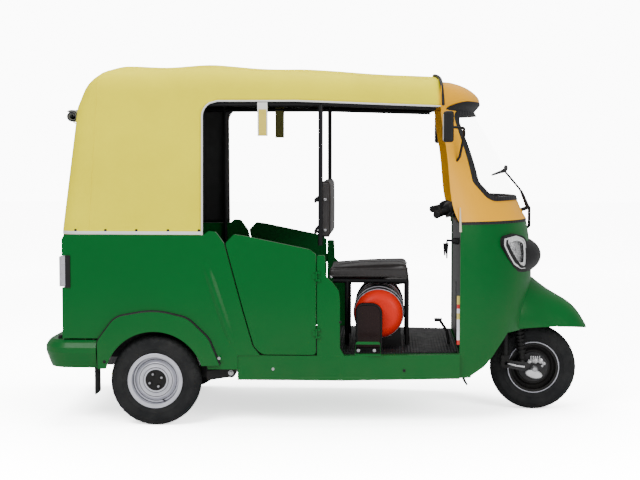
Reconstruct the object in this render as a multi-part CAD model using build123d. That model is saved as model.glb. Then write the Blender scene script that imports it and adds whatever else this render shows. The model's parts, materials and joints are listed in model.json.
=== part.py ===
"""Auto rickshaw: panels, frames, seats, running gear and wheels as separate solids.

Millimetres. +X is forward, +Y is the vehicle's left, +Z is up. The origin lies on the ground, in the
middle of the outer box. Side outlines are rows of (x, z), plan outlines rows of (x, y), and outlines seen
from the front rows of (y, z).
"""

from build123d import *
import math
import os

os.makedirs("parts", exist_ok=True)

# Overall
LENGTH = 2946
FRONT_TIP_X = LENGTH / 2
REAR_TIP_X = -LENGTH / 2
FRONT_OVERHANG = 292  # front tip to front axle
REAR_OVERHANG = 606  # rear bumper to rear axle
REAR_AXLE_X = REAR_TIP_X + REAR_OVERHANG
FRONT_AXLE_X = FRONT_TIP_X - FRONT_OVERHANG
MIRROR_SPAN = 1400

# Gaps
SEAT_GAP = 0.3  # between pieces that seat on each other
RUNNING_FIT = 0.05  # radial gap of a shaft in its bearing
PANEL_GAP = 6  # visible gap round a door or flap
SLANT_GAP = 8  # the same, measured level across the door's slanted rear edge

# Wheels
TYRE_RADIUS = 240
TYRE_HALF_WIDTH = 58
RIM_BEAD_RADIUS = 130
RIM_FLANGE_RADIUS = 145
RIM_HALF_WIDTH = 50
RIM_WALL = 4
REAR_TRACK = 1110
AXLE_Z = TYRE_RADIUS
HUB_BORE_RADIUS = 56
DRUM_RADIUS = 95
STUB_RADIUS = 18

# Body
BODY_HALF = 617  # half width over the side panels
PANEL = 27  # whole thickness of a side panel or door
BODY_REAR_X = REAR_TIP_X + 116
SILL_TOP_Z = 381
SILL_BOTTOM_Z = 250
SIDE_BOTTOM_Z = 306
WAIST_Z = 1014  # top of the side panel, where the hood is snapped on
FLOOR = 22
MAT = 8
MAT_TOP_Z = SILL_TOP_Z + MAT
DECK_Z = 640  # top of the luggage and engine deck
COWL_REAR_X = FRONT_TIP_X - 730
COWL_HALF = 526
DOOR_FRONT_X = -14
POST_REAR_X = DOOR_FRONT_X + PANEL_GAP
SILL_REAR_X = REAR_AXLE_X + 440
SILL_BREAK_X = 125  # where the floor starts to narrow towards the cowl
FLOOR_REAR_X = REAR_AXLE_X + 279
WHEEL_OPENING_RADIUS = 290
WHEELHOUSE_INNER_Y = 485

# Roof
HOOD_WALL = 8
HOOD_BOTTOM_Z = WAIST_Z + SEAT_GAP
VALANCE_Z = 1716
HOOD_SIDE_X = REAR_AXLE_X + 255  # front edge of the hood's rear side panels
HOOD_FRONT_X = COWL_REAR_X - 107
HOOD_CORNER = 130  # plan radius of the hood's rear corners
TUBE = 12.5  # radius of the roof tubes
RAIL_Z = VALANCE_Z - 14
POST_X = 8
POST_Y = BODY_HALF - 5 - PANEL - TUBE - SEAT_GAP

# Steering
STEER_TOP = Vector(COWL_REAR_X, 0, 1120)
STEER_LOW = Vector(FRONT_AXLE_X - 160, 0, 468)
STEM_RADIUS = 17
HEAD_TUBE_RADIUS = 28

nodes = {}


def add(name, shape):
    """Keep a piece under its node name."""
    nodes[name] = shape


def block(x0, x1, y0, y1, z0, z1):
    return Pos((x0 + x1) / 2, (y0 + y1) / 2, (z0 + z1) / 2) * Box(x1 - x0, y1 - y0, z1 - z0)


def outline(plane, rows):
    """Closed face from rows (u, v, corner radius) in a plane."""
    points = [(u, v) for u, v, _ in rows]
    radii = [r for _, _, r in rows]
    return make_face(plane * FilletPolyline(*points, radius=radii, close=True))


def side_plate(rows, y0, y1):
    """Plate between the planes y0 and y1 with the outline rows (x, z, corner radius)."""
    plane = Plane(origin=(0, y0, 0), x_dir=(1, 0, 0), z_dir=(0, -1, 0))
    return extrude(outline(plane, rows), y1 - y0, dir=(0, 1, 0))


def plan_plate(rows, z0, z1):
    """Plate between the heights z0 and z1 with the outline rows (x, y, corner radius)."""
    return extrude(outline(Plane.XY.offset(z0), rows), z1 - z0, dir=(0, 0, 1))


def front_plate(rows, x0, x1):
    """Plate between the stations x0 and x1 with the outline rows (y, z, corner radius)."""
    plane = Plane(origin=(x0, 0, 0), x_dir=(0, 1, 0), z_dir=(1, 0, 0))
    return extrude(outline(plane, rows), x1 - x0, dir=(1, 0, 0))


def rod(start, end, radius, bore=0):
    """Round bar or tube between two points."""
    axis = Vector(*end) - Vector(*start)
    plane = Plane(origin=start, z_dir=axis)
    face = plane * Circle(radius)
    if bore:
        face -= plane * Circle(bore)
    return extrude(face, axis.length, dir=axis.normalized())


def bent_tube(points, radius, bend):
    """Round bar along straight runs joined by arcs."""
    path = FilletPolyline(*points, radius=bend)
    return sweep(Plane(origin=path @ 0, z_dir=path % 0) * Circle(radius), path=path)


def turned(rows, side=1):
    """Solid turned about the Y axis from rows (outward offset, radius); side is the outward sign of y."""
    plane = Plane.YZ
    face = make_face(plane * Polyline(*[(side * o, r) for o, r in rows], close=True))
    return revolve(face, Axis.Y)


def both_sides(shape):
    """A piece and its mirror image about the middle plane, as two solids."""
    return Compound(children=[shape, mirror(shape, Plane.XZ)])


# ---------------------------------------------------------------- wheels


def tyre():
    """Tyre ring about the Y axis: columns outward offset, radius."""
    half, bead = RIM_HALF_WIDTH - SEAT_GAP, RIM_BEAD_RADIUS + SEAT_GAP
    shoulder, crown = TYRE_HALF_WIDTH - 16, TYRE_RADIUS - 9
    rim_top = RIM_FLANGE_RADIUS + 2
    rows = [(half, bead), (half, rim_top), (TYRE_HALF_WIDTH, (rim_top + crown) / 2), (shoulder, crown)]
    right = [Line((a[0], a[1]), (b[0], b[1])) for a, b in zip(rows, rows[1:3])]
    right.append(Line(rows[2], rows[3]))
    left = [Line((-e[0], e[1]), (-f[0], f[1])) for e, f in zip(rows, rows[1:])]
    tread = ThreePointArc(rows[3], (0, TYRE_RADIUS), (-shoulder, crown))
    base = Line((half, bead), (-half, bead))
    face = make_face(Plane.YZ * Curve(children=right + [tread] + left + [base]))
    return revolve(face, Axis.Y)


def rim(side):
    """Pressed wheel: barrel with two flanges and a dished disc open at the hub."""
    w, bead, flange = RIM_HALF_WIDTH, RIM_BEAD_RADIUS, RIM_FLANGE_RADIUS
    barrel = turned(
        [
            (w + RIM_WALL, flange),
            (w, flange),
            (w, bead),
            (-w, bead),
            (-w, flange),
            (-w - RIM_WALL, flange),
            (-w - RIM_WALL, bead - RIM_WALL),
            (w + RIM_WALL, bead - RIM_WALL),
        ],
        side,
    )
    disc = turned(
        [
            (10, bead - RIM_WALL),
            (14, bead - RIM_WALL),
            (16, 108),
            (28, 94),
            (28, HUB_BORE_RADIUS + SEAT_GAP),
            (24, HUB_BORE_RADIUS + SEAT_GAP),
            (24, 93),
            (12, 106),
        ],
        side,
    )
    return barrel + disc


def rear_hub(side):
    """Brake drum, hub face with four nuts and the drive shaft stub."""
    drum = turned([(9, 0), (9, DRUM_RADIUS - 8), (4, DRUM_RADIUS), (-44, DRUM_RADIUS), (-44, 0)], side)
    face = turned([(8, 0), (8, HUB_BORE_RADIUS), (28, HUB_BORE_RADIUS), (28, 0)], side)
    hub = drum + face
    for turn in (25, 115, 205, 295):
        a = math.radians(turn)
        x, z = 35 * math.cos(a), 35 * math.sin(a)
        hub += rod((x, side * 27, z), (x, side * 39, z), 9)
    shaft_end = REAR_TRACK / 2 - SHAFT_INNER_Y
    hub += rod((0, side * -40, 0), (0, side * -shaft_end, 0), STUB_RADIUS)
    return hub


ENGINE_HALF = 225
SHAFT_INNER_Y = ENGINE_HALF + 1  # where a drive shaft meets the engine block
ARM_OUTER_Y = 478
ARM_INNER_Y = 408
ARM_PIVOT = (REAR_AXLE_X + 401, 283)
BOSS_RADIUS = 42


def build_rear_wheels():
    for name, side in (("right", -1), ("left", 1)):
        at = Pos(REAR_AXLE_X, side * REAR_TRACK / 2, AXLE_Z)
        add("rear_tyre_" + name, at * tyre())
        add("rear_rim_" + name, at * rim(side))
        add("rear_hub_" + name, at * rear_hub(side))


def build_trailing_arms():
    """Arm with the bearing boss of the rear wheel and the pivot tube on the chassis."""
    px, pz = ARM_PIVOT
    y0, y1 = -ARM_OUTER_Y, -ARM_INNER_Y
    arm = rod((REAR_AXLE_X, y0, AXLE_Z), (REAR_AXLE_X, y1, AXLE_Z), BOSS_RADIUS)
    arm += side_plate(
        [
            (REAR_AXLE_X, AXLE_Z - 34, 10),
            (REAR_AXLE_X, AXLE_Z + 34, 10),
            (px - 40, pz + 26, 10),
            (px, pz + 22, 8),
            (px, pz - 26, 8),
            (px - 120, pz - 40, 20),
        ],
        y0 + 8,
        y1 - 8,
    )
    arm += rod((px, -BODY_HALF + 32, pz), (px, -299 - SEAT_GAP, pz), 26)
    arm += side_plate(
        [(px - 130, pz - 44, 12), (px - 130, pz + 8, 12), (px, pz + 22, 8), (px, pz - 24, 8)],
        -BODY_HALF + 40,
        y0 + 10,
    )
    arm -= rod((REAR_AXLE_X, y0 - 1, AXLE_Z), (REAR_AXLE_X, y1 + 1, AXLE_Z), STUB_RADIUS + RUNNING_FIT)
    add("trailing_arms", both_sides(arm))


def spring_unit(low, high, coil_radius, rod_radius, turns):
    """Damper body with a coil drawn as separate rings fused to it."""
    low, high = Vector(*low), Vector(*high)
    axis = high - low
    unit = rod(low, high, rod_radius)
    for i in range(turns):
        at = low + axis * (0.2 + 0.6 * i / (turns - 1))
        step = axis.normalized() * 5
        unit += rod(at - step, at + step, coil_radius)
    return unit


def build_rear_springs():
    low = (REAR_AXLE_X + 90, -(ARM_INNER_Y + ARM_OUTER_Y) / 2, AXLE_Z + 52)
    high = (low[0], low[1], DECK_Z - FLOOR - SEAT_GAP)
    add("rear_springs", both_sides(spring_unit(low, high, 34, 20, 7)))


# ---------------------------------------------------------------- steering and front wheel

STEER_AXIS = (STEER_TOP - STEER_LOW).normalized()
SPRING_FOOT = (FRONT_AXLE_X - 66, -92, 292)
SPRING_HEAD = (FRONT_AXLE_X - 96, -92, 530)
LINK_PIVOT = (FRONT_AXLE_X - 162, 265)
LINK_OUTER_Y = -106
LINK_INNER_Y = -78
PIN_RADIUS = 10
LINK_AXIS_Y = -92


def build_front_wheel():
    at = Pos(FRONT_AXLE_X, 0, AXLE_Z)
    wheel = rim(-1)
    bore = PIN_RADIUS + RUNNING_FIT
    drum = turned([(-30, bore), (-30, 60), (22, DRUM_RADIUS - 5), (22, bore)], -1)
    ring = turned([(24, 62), (24, 40), (20, 40), (20, 62)], -1)
    add("front_tyre", at * tyre())
    add("front_rim", at * (wheel + ring + drum))


def build_link():
    """Leading link on the wheel's right with the axle pin, its nut and the link's pivot boss."""
    px, pz = LINK_PIVOT
    outer, inner = LINK_OUTER_Y, LINK_INNER_Y
    link = side_plate(
        [
            (px - 24, pz - 14, 12),
            (px - 20, pz + 22, 12),
            (FRONT_AXLE_X - 20, AXLE_Z + 34, 16),
            (FRONT_AXLE_X + 36, AXLE_Z + 20, 16),
            (FRONT_AXLE_X + 30, AXLE_Z - 30, 16),
        ],
        outer,
        inner,
    )
    link += rod((FRONT_AXLE_X, inner - 1, AXLE_Z), (FRONT_AXLE_X, 62, AXLE_Z), PIN_RADIUS)
    link += rod((FRONT_AXLE_X, inner - 1, AXLE_Z), (FRONT_AXLE_X, -32, AXLE_Z), PIN_RADIUS + 10)
    link += rod((FRONT_AXLE_X, 36, AXLE_Z), (FRONT_AXLE_X, 58, AXLE_Z), PIN_RADIUS + 10)
    link += rod((FRONT_AXLE_X, outer + 1, AXLE_Z), (FRONT_AXLE_X, outer - 12, AXLE_Z), 24)
    plate = turned([(30, 0), (30, DRUM_RADIUS - 8), (38, DRUM_RADIUS - 12), (38, 0)], -1)
    link += Pos(FRONT_AXLE_X, 0, AXLE_Z) * plate
    foot_x, foot_y, foot_z = SPRING_FOOT
    link += rod((foot_x, foot_y, AXLE_Z + 20), (foot_x, foot_y, foot_z - 6), 13)
    add("front_link", link)


def build_fork():
    """Steering stem, crown and the single leg on the wheel's right."""
    px, pz = LINK_PIVOT
    stem_top = STEER_TOP - STEER_AXIS * 30
    fork = rod(STEER_LOW, stem_top, STEM_RADIUS)
    crown = STEER_LOW + STEER_AXIS * 26
    fork += rod(STEER_LOW, STEER_LOW + STEER_AXIS * 60, STEM_RADIUS + 15)
    leg_top = (crown.X + 8, LINK_AXIS_Y, crown.Z + 6)
    fork += bent_tube([crown, leg_top, (px + 2, LINK_AXIS_Y, pz + 40)], 19, 40)
    fork += block(px - 22, px + 24, LINK_OUTER_Y - 12, LINK_INNER_Y + 12, pz + 30, pz + 50)
    cheek = [(px - 22, pz - 20, 18), (px - 22, pz + 40, 0), (px + 24, pz + 40, 0), (px + 24, pz - 20, 18)]
    fork += side_plate(cheek, LINK_OUTER_Y - 12, LINK_OUTER_Y - SEAT_GAP)
    fork += side_plate(cheek, LINK_INNER_Y + SEAT_GAP, LINK_INNER_Y + 12)
    spring_foot, spring_head = SPRING_FOOT, SPRING_HEAD
    arm_root = STEER_LOW + STEER_AXIS * 52
    arm_tip = (spring_head[0], LINK_AXIS_Y, spring_head[2] + 20)
    fork += rod(arm_root, arm_tip, 14)
    socket_x, socket_y, socket_z = spring_head
    fork += rod((socket_x, socket_y, socket_z - 6), (socket_x, socket_y, socket_z + 34), 24)
    spring_axis = (Vector(*spring_head) - Vector(*spring_foot)).normalized()
    fork -= rod(spring_foot, Vector(*spring_head) + spring_axis * SEAT_GAP, 17 + SEAT_GAP)
    add("steering_fork", fork)
    add("front_spring", spring_unit(spring_foot, spring_head, 27, 17, 8))


GRIP_HALF = 350


def build_handlebar():
    """Bar with swept grips, switch housings and the clamp on the stem."""
    top = STEER_TOP
    clamp = rod(top - STEER_AXIS * (30 - SEAT_GAP), top + STEER_AXIS * 26, 30)
    bar = clamp
    for side in (-1, 1):
        inner = (top.X - 4, 0, top.Z + 10)
        knee = (top.X - 20, side * 190, top.Z + 22)
        end = (top.X - 118, side * GRIP_HALF, top.Z - 8)
        bar += bent_tube([inner, knee, end], 11, 60)
        grip = Vector(*end) - (Vector(*end) - Vector(*knee)).normalized() * 110
        bar += rod(grip, end, 17)
        housing = Vector(*end) - (Vector(*end) - Vector(*knee)).normalized() * 150
        bar += rod(housing, grip, 28)
        bar += rod(grip + Vector(26, 0, -4), Vector(*end) + Vector(52, 0, -10), 6)
        bar += rod(housing, grip + Vector(40, 0, -6), 8)
    add("handlebar", bar)


# ---------------------------------------------------------------- body panels

ARCH_OUTER = [  # x from the rear axle, z, corner radius
    (-299, SIDE_BOTTOM_Z, 0),
    (-303, 451, 60),
    (-207, 580, 110),
    (0, 618, 400),
    (177, 576, 130),
    (287, 470, 120),
    (345, 330, 0),
]


def wheel_opening():
    """Cutter for the wheel opening in the side panel."""
    r = WHEEL_OPENING_RADIUS
    cut = rod((REAR_AXLE_X, -BODY_HALF - 40, AXLE_Z), (REAR_AXLE_X, -BODY_HALF + 60, AXLE_Z), r)
    low = block(REAR_AXLE_X - r, REAR_AXLE_X + r, -BODY_HALF - 40, -BODY_HALF + 60, 0, AXLE_Z)
    return cut + low


DOOR_EDGE = [  # x from the rear axle and z down the door's rear edge, corner radius
    (378, 973, 20),
    (472, 621, 0),
    (527, 431, 40),
]
DOOR_FOOT_X = 567  # from the rear axle, where the rear edge meets the sill


def build_body_sides():
    """Rear side panel from the tail to the door's slanted edge, with the wheel opening."""
    rear = BODY_REAR_X
    axle = REAR_AXLE_X
    rows = [
        (rear, SIDE_BOTTOM_Z + 160, 0),
        (rear, WAIST_Z, 30),
        (axle + 261, WAIST_Z, 10),
        (axle + 289, WAIST_Z + 22, 16),
        (axle + 327, WAIST_Z + 18, 20),
    ]
    rows += [(axle + x - SLANT_GAP, z, r) for x, z, r in DOOR_EDGE]
    rows += [
        (axle + DOOR_FOOT_X - SLANT_GAP, SILL_TOP_Z + SEAT_GAP, 0),
        (SILL_REAR_X, SILL_TOP_Z + SEAT_GAP, 0),
        (SILL_REAR_X, SIDE_BOTTOM_Z, 0),
        (axle + 347, SIDE_BOTTOM_Z, 0),
        (axle + 347, 200, 0),
        (axle - 283, 200, 0),
        (axle - 283, SIDE_BOTTOM_Z + 160, 0),
    ]
    panel = side_plate(rows, -BODY_HALF, -BODY_HALF + PANEL)
    panel -= wheel_opening()
    panel -= block(rear - 50, 0, -BODY_HALF - 1, -BODY_HALF + PANEL + 1, 0, SIDE_BOTTOM_Z)
    panel -= lamp_block(SEAT_GAP)
    add("body_sides", both_sides(panel))


LAMP = (BODY_REAR_X - 15, BODY_REAR_X + 45, 532, 624, 735, 905)  # x0, x1, |y| inner, |y| outer, z0, z1


def lamp_block(grow):
    x0, x1, yi, yo, z0, z1 = LAMP
    return block(x0 - 1, x1 + grow, -yo - 1, -yi + grow, z0 - grow, z1 + grow)


def build_tail_lamps():
    x0, x1, yi, yo, z0, z1 = LAMP
    split = x0 + 34
    lens = block(x0, split, -yo, -yi, z0 + 6, z1 - 6)
    lens = fillet(lens.edges().filter_by(Axis.Z).group_by(Axis.X)[0], 14)
    add("tail_lamp_lenses", both_sides(lens))
    add("tail_lamp_housings", both_sides(block(split + SEAT_GAP, x1, -yo, -yi, z0, z1)))


HINGE_RADIUS = 5
HINGE_PIN_RADIUS = 3
HINGE_KNUCKLE = 26  # length of the middle knuckle
HINGE_OUTER = 11  # length of each outer knuckle
HINGE_STANDOFF = 6  # pin axis outside the panel's face
HINGE_LEAF = 20


def hinge(centre, direction, fixed_tab, moving_tab):
    """Pin hinge: the outer knuckles and the pin on the fixed tab, the middle knuckle on the moving one."""
    centre, direction = Vector(*centre), Vector(*direction)
    half, outer = HINGE_KNUCKLE / 2, HINGE_KNUCKLE / 2 + 1 + HINGE_OUTER
    fixed = rod(centre - direction * outer, centre + direction * outer, HINGE_PIN_RADIUS)
    moving_zone = rod(centre - direction * (half + 1), centre + direction * (half + 1), 400)
    knuckles = rod(centre - direction * outer, centre + direction * outer, HINGE_RADIUS) + fixed_tab
    fixed += knuckles - moving_zone
    moving = rod(centre - direction * half, centre + direction * half, HINGE_RADIUS) + moving_tab
    moving -= rod(centre - direction * outer, centre + direction * outer, HINGE_PIN_RADIUS + RUNNING_FIT)
    return fixed, moving


DOOR_HINGE = (DOOR_FRONT_X + 3, -BODY_HALF - HINGE_STANDOFF)
DOOR_HINGE_Z = (500, 800)
TAILGATE_HINGE = (BODY_REAR_X - HINGE_STANDOFF, 963)
TAILGATE_HINGE_Y = (-250, 250)


def door_hinges():
    """Fixed and moving halves of the right door's two hinges."""
    x, y = DOOR_HINGE
    posts, leaves = Part(), Part()
    for z in DOOR_HINGE_Z:
        half, outer = HINGE_KNUCKLE / 2, HINGE_KNUCKLE / 2 + 1 + HINGE_OUTER
        fixed_tab = block(x, x + HINGE_LEAF, y, -BODY_HALF + 6, z - outer, z + outer)
        moving_tab = block(x - HINGE_LEAF, x, y, -BODY_HALF + 1, z - half, z + half)
        post, leaf = hinge((x, y, z), (0, 0, 1), fixed_tab, moving_tab)
        posts += post
        leaves += leaf
    return posts, leaves


def tailgate_hinges():
    """Fixed and moving halves of the tailgate's two hinges."""
    x, z = TAILGATE_HINGE
    panels, leaves = Part(), Part()
    for y in TAILGATE_HINGE_Y:
        half, outer = HINGE_KNUCKLE / 2, HINGE_KNUCKLE / 2 + 1 + HINGE_OUTER
        fixed_tab = block(x, BODY_REAR_X + 1, y - outer, y + outer, z, z + 26)
        moving_tab = block(x, BODY_REAR_X + 1, y - half, y + half, z - 30, z)
        panel, leaf = hinge((x, y, z), (0, 1, 0), fixed_tab, moving_tab)
        panels += panel
        leaves += leaf
    return panels, leaves


def build_doors():
    """Half door with the slanted rear edge and the rounded lower corner."""
    axle, front = REAR_AXLE_X, DOOR_FRONT_X
    rows = [
        (axle + DOOR_EDGE[0][0], DOOR_EDGE[0][1], 20),
        (axle + 423, WAIST_Z + 5, 14),
        (axle + 474, WAIST_Z - 2, 40),
        (front - 32, 941, 60),
        (front, 915, 14),
        (front, SILL_TOP_Z + PANEL_GAP, 18),
        (axle + DOOR_FOOT_X, SILL_TOP_Z + PANEL_GAP, 60),
    ]
    rows += [(axle + x, z, r) for x, z, r in DOOR_EDGE[:0:-1]]
    door = side_plate(rows, -BODY_HALF, -BODY_HALF + PANEL)
    door += door_hinges()[1]
    add("door_right", door)
    add("door_left", mirror(door, Plane.XZ))


def build_b_posts():
    """Green post between the door and the driver's opening, stepped forward above the sill."""
    x = POST_REAR_X
    rows = [
        (x, SILL_TOP_Z + SEAT_GAP, 0),
        (x, 910, 10),
        (33, 910, 10),
        (37, 800, 20),
        (72, 768, 20),
        (106, 724, 30),
        (112, 670, 0),
        (112, 420, 30),
        (136, SILL_TOP_Z + SEAT_GAP, 0),
    ]
    post = side_plate(rows, -BODY_HALF + 5, -BODY_HALF + 5 + PANEL)
    add("b_posts", both_sides(post + door_hinges()[0]))


def build_rear_panel():
    """Tail panel between the sides, with the flap's opening."""
    y = BODY_HALF - PANEL - SEAT_GAP
    rows = [(-y, 400, 0), (-y, WAIST_Z, 30), (y, WAIST_Z, 30), (y, 400, 0)]
    panel = front_plate(rows, BODY_REAR_X, BODY_REAR_X + PANEL)
    panel -= tailgate_shape(PANEL_GAP, 4)
    panel -= lamp_block(SEAT_GAP)
    panel -= mirror(lamp_block(SEAT_GAP), Plane.XZ)
    add("rear_panel", panel + tailgate_hinges()[0])


PLATE_HOLE_RADIUS = 3.5
PLATE_HOLE_SPACING = 260
TAILGATE_HALF = 400
TAILGATE_Z = (520, 960)


def tailgate_shape(grow, deep):
    y, (z0, z1) = TAILGATE_HALF + grow, TAILGATE_Z
    rows = [(-y, z0 - grow, 40), (-y, z1 + grow, 40), (y, z1 + grow, 40), (y, z0 - grow, 40)]
    return front_plate(rows, BODY_REAR_X - deep, BODY_REAR_X + PANEL + deep)


def build_tailgate():
    gate = tailgate_shape(0, 0)
    gate += block(BODY_REAR_X - 14, BODY_REAR_X + 1, -60, 60, TAILGATE_Z[0] + 30, TAILGATE_Z[0] + 50)
    plate = block(BODY_REAR_X - 3 - SEAT_GAP, BODY_REAR_X - SEAT_GAP, -170, 170, 760, 860)
    for y in (-PLATE_HOLE_SPACING / 2, PLATE_HOLE_SPACING / 2):
        hole = rod((BODY_REAR_X - 20, y, 810), (BODY_REAR_X + PANEL + 10, y, 810), PLATE_HOLE_RADIUS)
        plate -= hole
        gate -= hole
    add("tailgate", gate + tailgate_hinges()[1])
    add("number_plate", plate)


BUMPER_HALF = 640
BUMPER_CORNER = 150
BUMPER_Z = (308, 456)
BUMPER_WALL = 34
BUMPER_END_X = REAR_AXLE_X - 309


def bumper_plan(inset, corner):
    """Plan outline rows of the bumper, inset from its outer face."""
    x0, x1, y = REAR_TIP_X + inset, BUMPER_END_X, BUMPER_HALF - inset
    return [(x0, -y, corner), (x0, y, corner), (x1, y, 0), (x1, -y, 0)]


def build_rear_bumper():
    """Bumper that wraps round both rear corners to the arch flares, bulged between its two edges."""
    z0, z1 = BUMPER_Z
    c, w = BUMPER_CORNER, BUMPER_WALL
    heights = [(z0, 30), (z0 + 34, 16), (z0 + 82, 0), (z1 - 38, 0), (z1 - 14, 14), (z1, 30)]
    faces = [outline(Plane.XY.offset(z), bumper_plan(inset, c - inset)) for z, inset in heights]
    inner = plan_plate(bumper_plan(w, c - w), z0 - 1, z1 + 1)
    bumper = loft(faces, ruled=True) - inner - Pos(1, 0, 0) * inner
    ledge = plan_plate(bumper_plan(w - 1, c - w), z1 - 18, z1)
    ledge -= block(BODY_REAR_X - SEAT_GAP, 0, -BUMPER_HALF, BUMPER_HALF, 0, 2 * z1)
    add("rear_bumper", bumper + ledge)


def build_arch_flares():
    rows = [(REAR_AXLE_X + x, z, r) for x, z, r in ARCH_OUTER]
    flare = side_plate(rows, -BUMPER_HALF, -BODY_HALF - SEAT_GAP)
    r = TYRE_RADIUS + 26
    flare -= rod((REAR_AXLE_X, -700, AXLE_Z), (REAR_AXLE_X, -500, AXLE_Z), r)
    flare -= block(REAR_AXLE_X - r, REAR_AXLE_X + r, -700, -500, 0, AXLE_Z)
    flare -= block(REAR_TIP_X, 0, -700, -500, 0, SIDE_BOTTOM_Z)
    add("arch_flares", both_sides(flare))


def build_wheelhouses():
    """Inner wing over the rear wheel: half a drum open below and outwards."""
    y0, y1 = -BODY_HALF + PANEL + SEAT_GAP, -WHEELHOUSE_INNER_Y
    r = WHEEL_OPENING_RADIUS + 12
    outer = rod((REAR_AXLE_X, y0, AXLE_Z), (REAR_AXLE_X, y1, AXLE_Z), r)
    inner = rod((REAR_AXLE_X, y0 - 1, AXLE_Z), (REAR_AXLE_X, y1 - 6, AXLE_Z), r - 8)
    house = outer - inner
    house -= block(REAR_AXLE_X - r - 1, REAR_AXLE_X + r + 1, y0 - 1, y1 + 1, AXLE_Z - r - 1, 350)
    add("wheelhouses", both_sides(house))


def plan_half(x):
    """Half width of the floor at a station: straight to the B post, then narrowing to the cowl."""
    wide = BODY_HALF - 5
    share = max(0, x - SILL_BREAK_X) / (COWL_REAR_X - SILL_BREAK_X)
    return wide + (COWL_HALF - wide) * share


def floor_rows(x0, x1, inset, r0=0, r1=0):
    """Plan outline rows of the floor between two stations, inset from its sides."""
    half = [(x, plan_half(x) - inset, r) for x, r in ((x0, r0), (SILL_BREAK_X, 0), (x1, r1))]
    return [(x, -h, r) for x, h, r in half] + [(x, h, r) for x, h, r in reversed(half)]


SILL_WALL = 45
MAT_INSET = 56


def build_floor_pan():
    """Floor sheet with a deep sill on either side and the lug of the cylinder guard."""
    x0, x1 = SILL_REAR_X, COWL_REAR_X - SEAT_GAP
    pan = plan_plate(floor_rows(x0, x1, 0), SILL_BOTTOM_Z, SILL_TOP_Z)
    pan -= plan_plate(floor_rows(x0 - 1, x1 + 1, SILL_WALL), SILL_BOTTOM_Z - 1, SILL_TOP_Z - FLOOR)
    rear_half = BODY_HALF - PANEL - SEAT_GAP
    pan += block(FLOOR_REAR_X, x0 + 1, -rear_half, rear_half, SILL_TOP_Z - FLOOR, SILL_TOP_Z)
    z = SILL_TOP_Z
    lug_rows = [(190, z - 1, 0), (196, z + 74, 12), (322, z + 74, 12), (328, z - 1, 0)]
    lug = side_plate(lug_rows, -598, -590) - side_plate([(x, h - 14, 0) for x, h, _ in lug_rows], -599, -560)
    pan += lug + block(190, 328, -598, -562, z - 1, z + MAT)
    add("floor_pan", pan)
    mat = plan_plate(floor_rows(x0 + 27, x1 - 8, MAT_INSET, 20, 20), z + SEAT_GAP, MAT_TOP_Z)
    add("floor_mat", mat)


TOW_EYE_X = BODY_REAR_X + 25
TOW_EYE_RADIUS = 11
RAIL_Y = (230, 290)  # inner and outer side of a long member
FRAME_Z = (275, SILL_TOP_Z - FLOOR - SEAT_GAP)
SUBFRAME_Z = (565, DECK_Z - FLOOR - SEAT_GAP)


def build_chassis():
    """Two long members, cross members, rear subframe, tow eye and the head tube."""
    z0, z1 = FRAME_Z
    low, high = SUBFRAME_Z
    axle, front = REAR_AXLE_X, COWL_REAR_X + 47
    frame = Part()
    for side in (-1, 1):
        y0, y1 = sorted(side * y for y in RAIL_Y)
        frame += block(axle + 207, front, y0, y1, z0, z1)
        frame += block(axle + 207, axle + 257, y0, y1, z0, high)
        frame += block(axle - 443, axle + 257, y0, y1, low, high)
        frame += block(axle - 443, axle - 403, y0, y1, 330, low + 15)
    for x in (axle + 207, -150, 230, front - 50):
        frame += block(x, x + 50, -RAIL_Y[1], RAIL_Y[1], z0 + 6, z1 - 6)
    frame += block(axle - 443, axle - 403, -560, 560, 345, 395)
    frame += block(TOW_EYE_X - 20, axle - 442, -30, 30, 345, 357)
    frame -= rod((TOW_EYE_X, 0, 340), (TOW_EYE_X, 0, 360), TOW_EYE_RADIUS)
    px, pz = ARM_PIVOT
    frame += block(px - 45, px + 30, -299, 299, pz - 8, z1 - 4)
    add("chassis_frame", frame)
    head_low = STEER_LOW + STEER_AXIS * 66
    head_high = STEER_TOP - STEER_AXIS * 70
    head = rod(head_low, head_high, HEAD_TUBE_RADIUS)
    x0 = front + SEAT_GAP
    gusset = [(0, z0, 0), (0, z1, 0), (110, 700, 15), (150, 660, 0), (178, 594, 0), (50, z0, 30)]
    head += side_plate([(x0 + x, z, r) for x, z, r in gusset], -30, 30)
    head -= rod(STEER_LOW - STEER_AXIS * 9, STEER_TOP + STEER_AXIS * 9, STEM_RADIUS + RUNNING_FIT)
    add("head_tube", head)


def build_engine():
    axle, top = REAR_AXLE_X, SUBFRAME_Z[0] - SEAT_GAP
    engine = block(axle - 333, axle + 167, -ENGINE_HALF, ENGINE_HALF, 262, top)
    for x in (axle - 273, axle + 67):
        engine += block(x, x + 40, -270, 270, top - 20, top)
    add("engine_block", engine)
    x, z, r = axle - 385, 282, 46
    silencer = rod((x, -160, z), (x, 220, z), r)
    silencer += rod((x, 219, z - 20), (x, 330, z - 20), 16)
    for y in (-100, 140):
        silencer += block(x - 36, x - 12, y, y + 8, z, 345 - SEAT_GAP)
    add("silencer", silencer)


# ---------------------------------------------------------------- front cowl, upper cowl and windscreen

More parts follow.
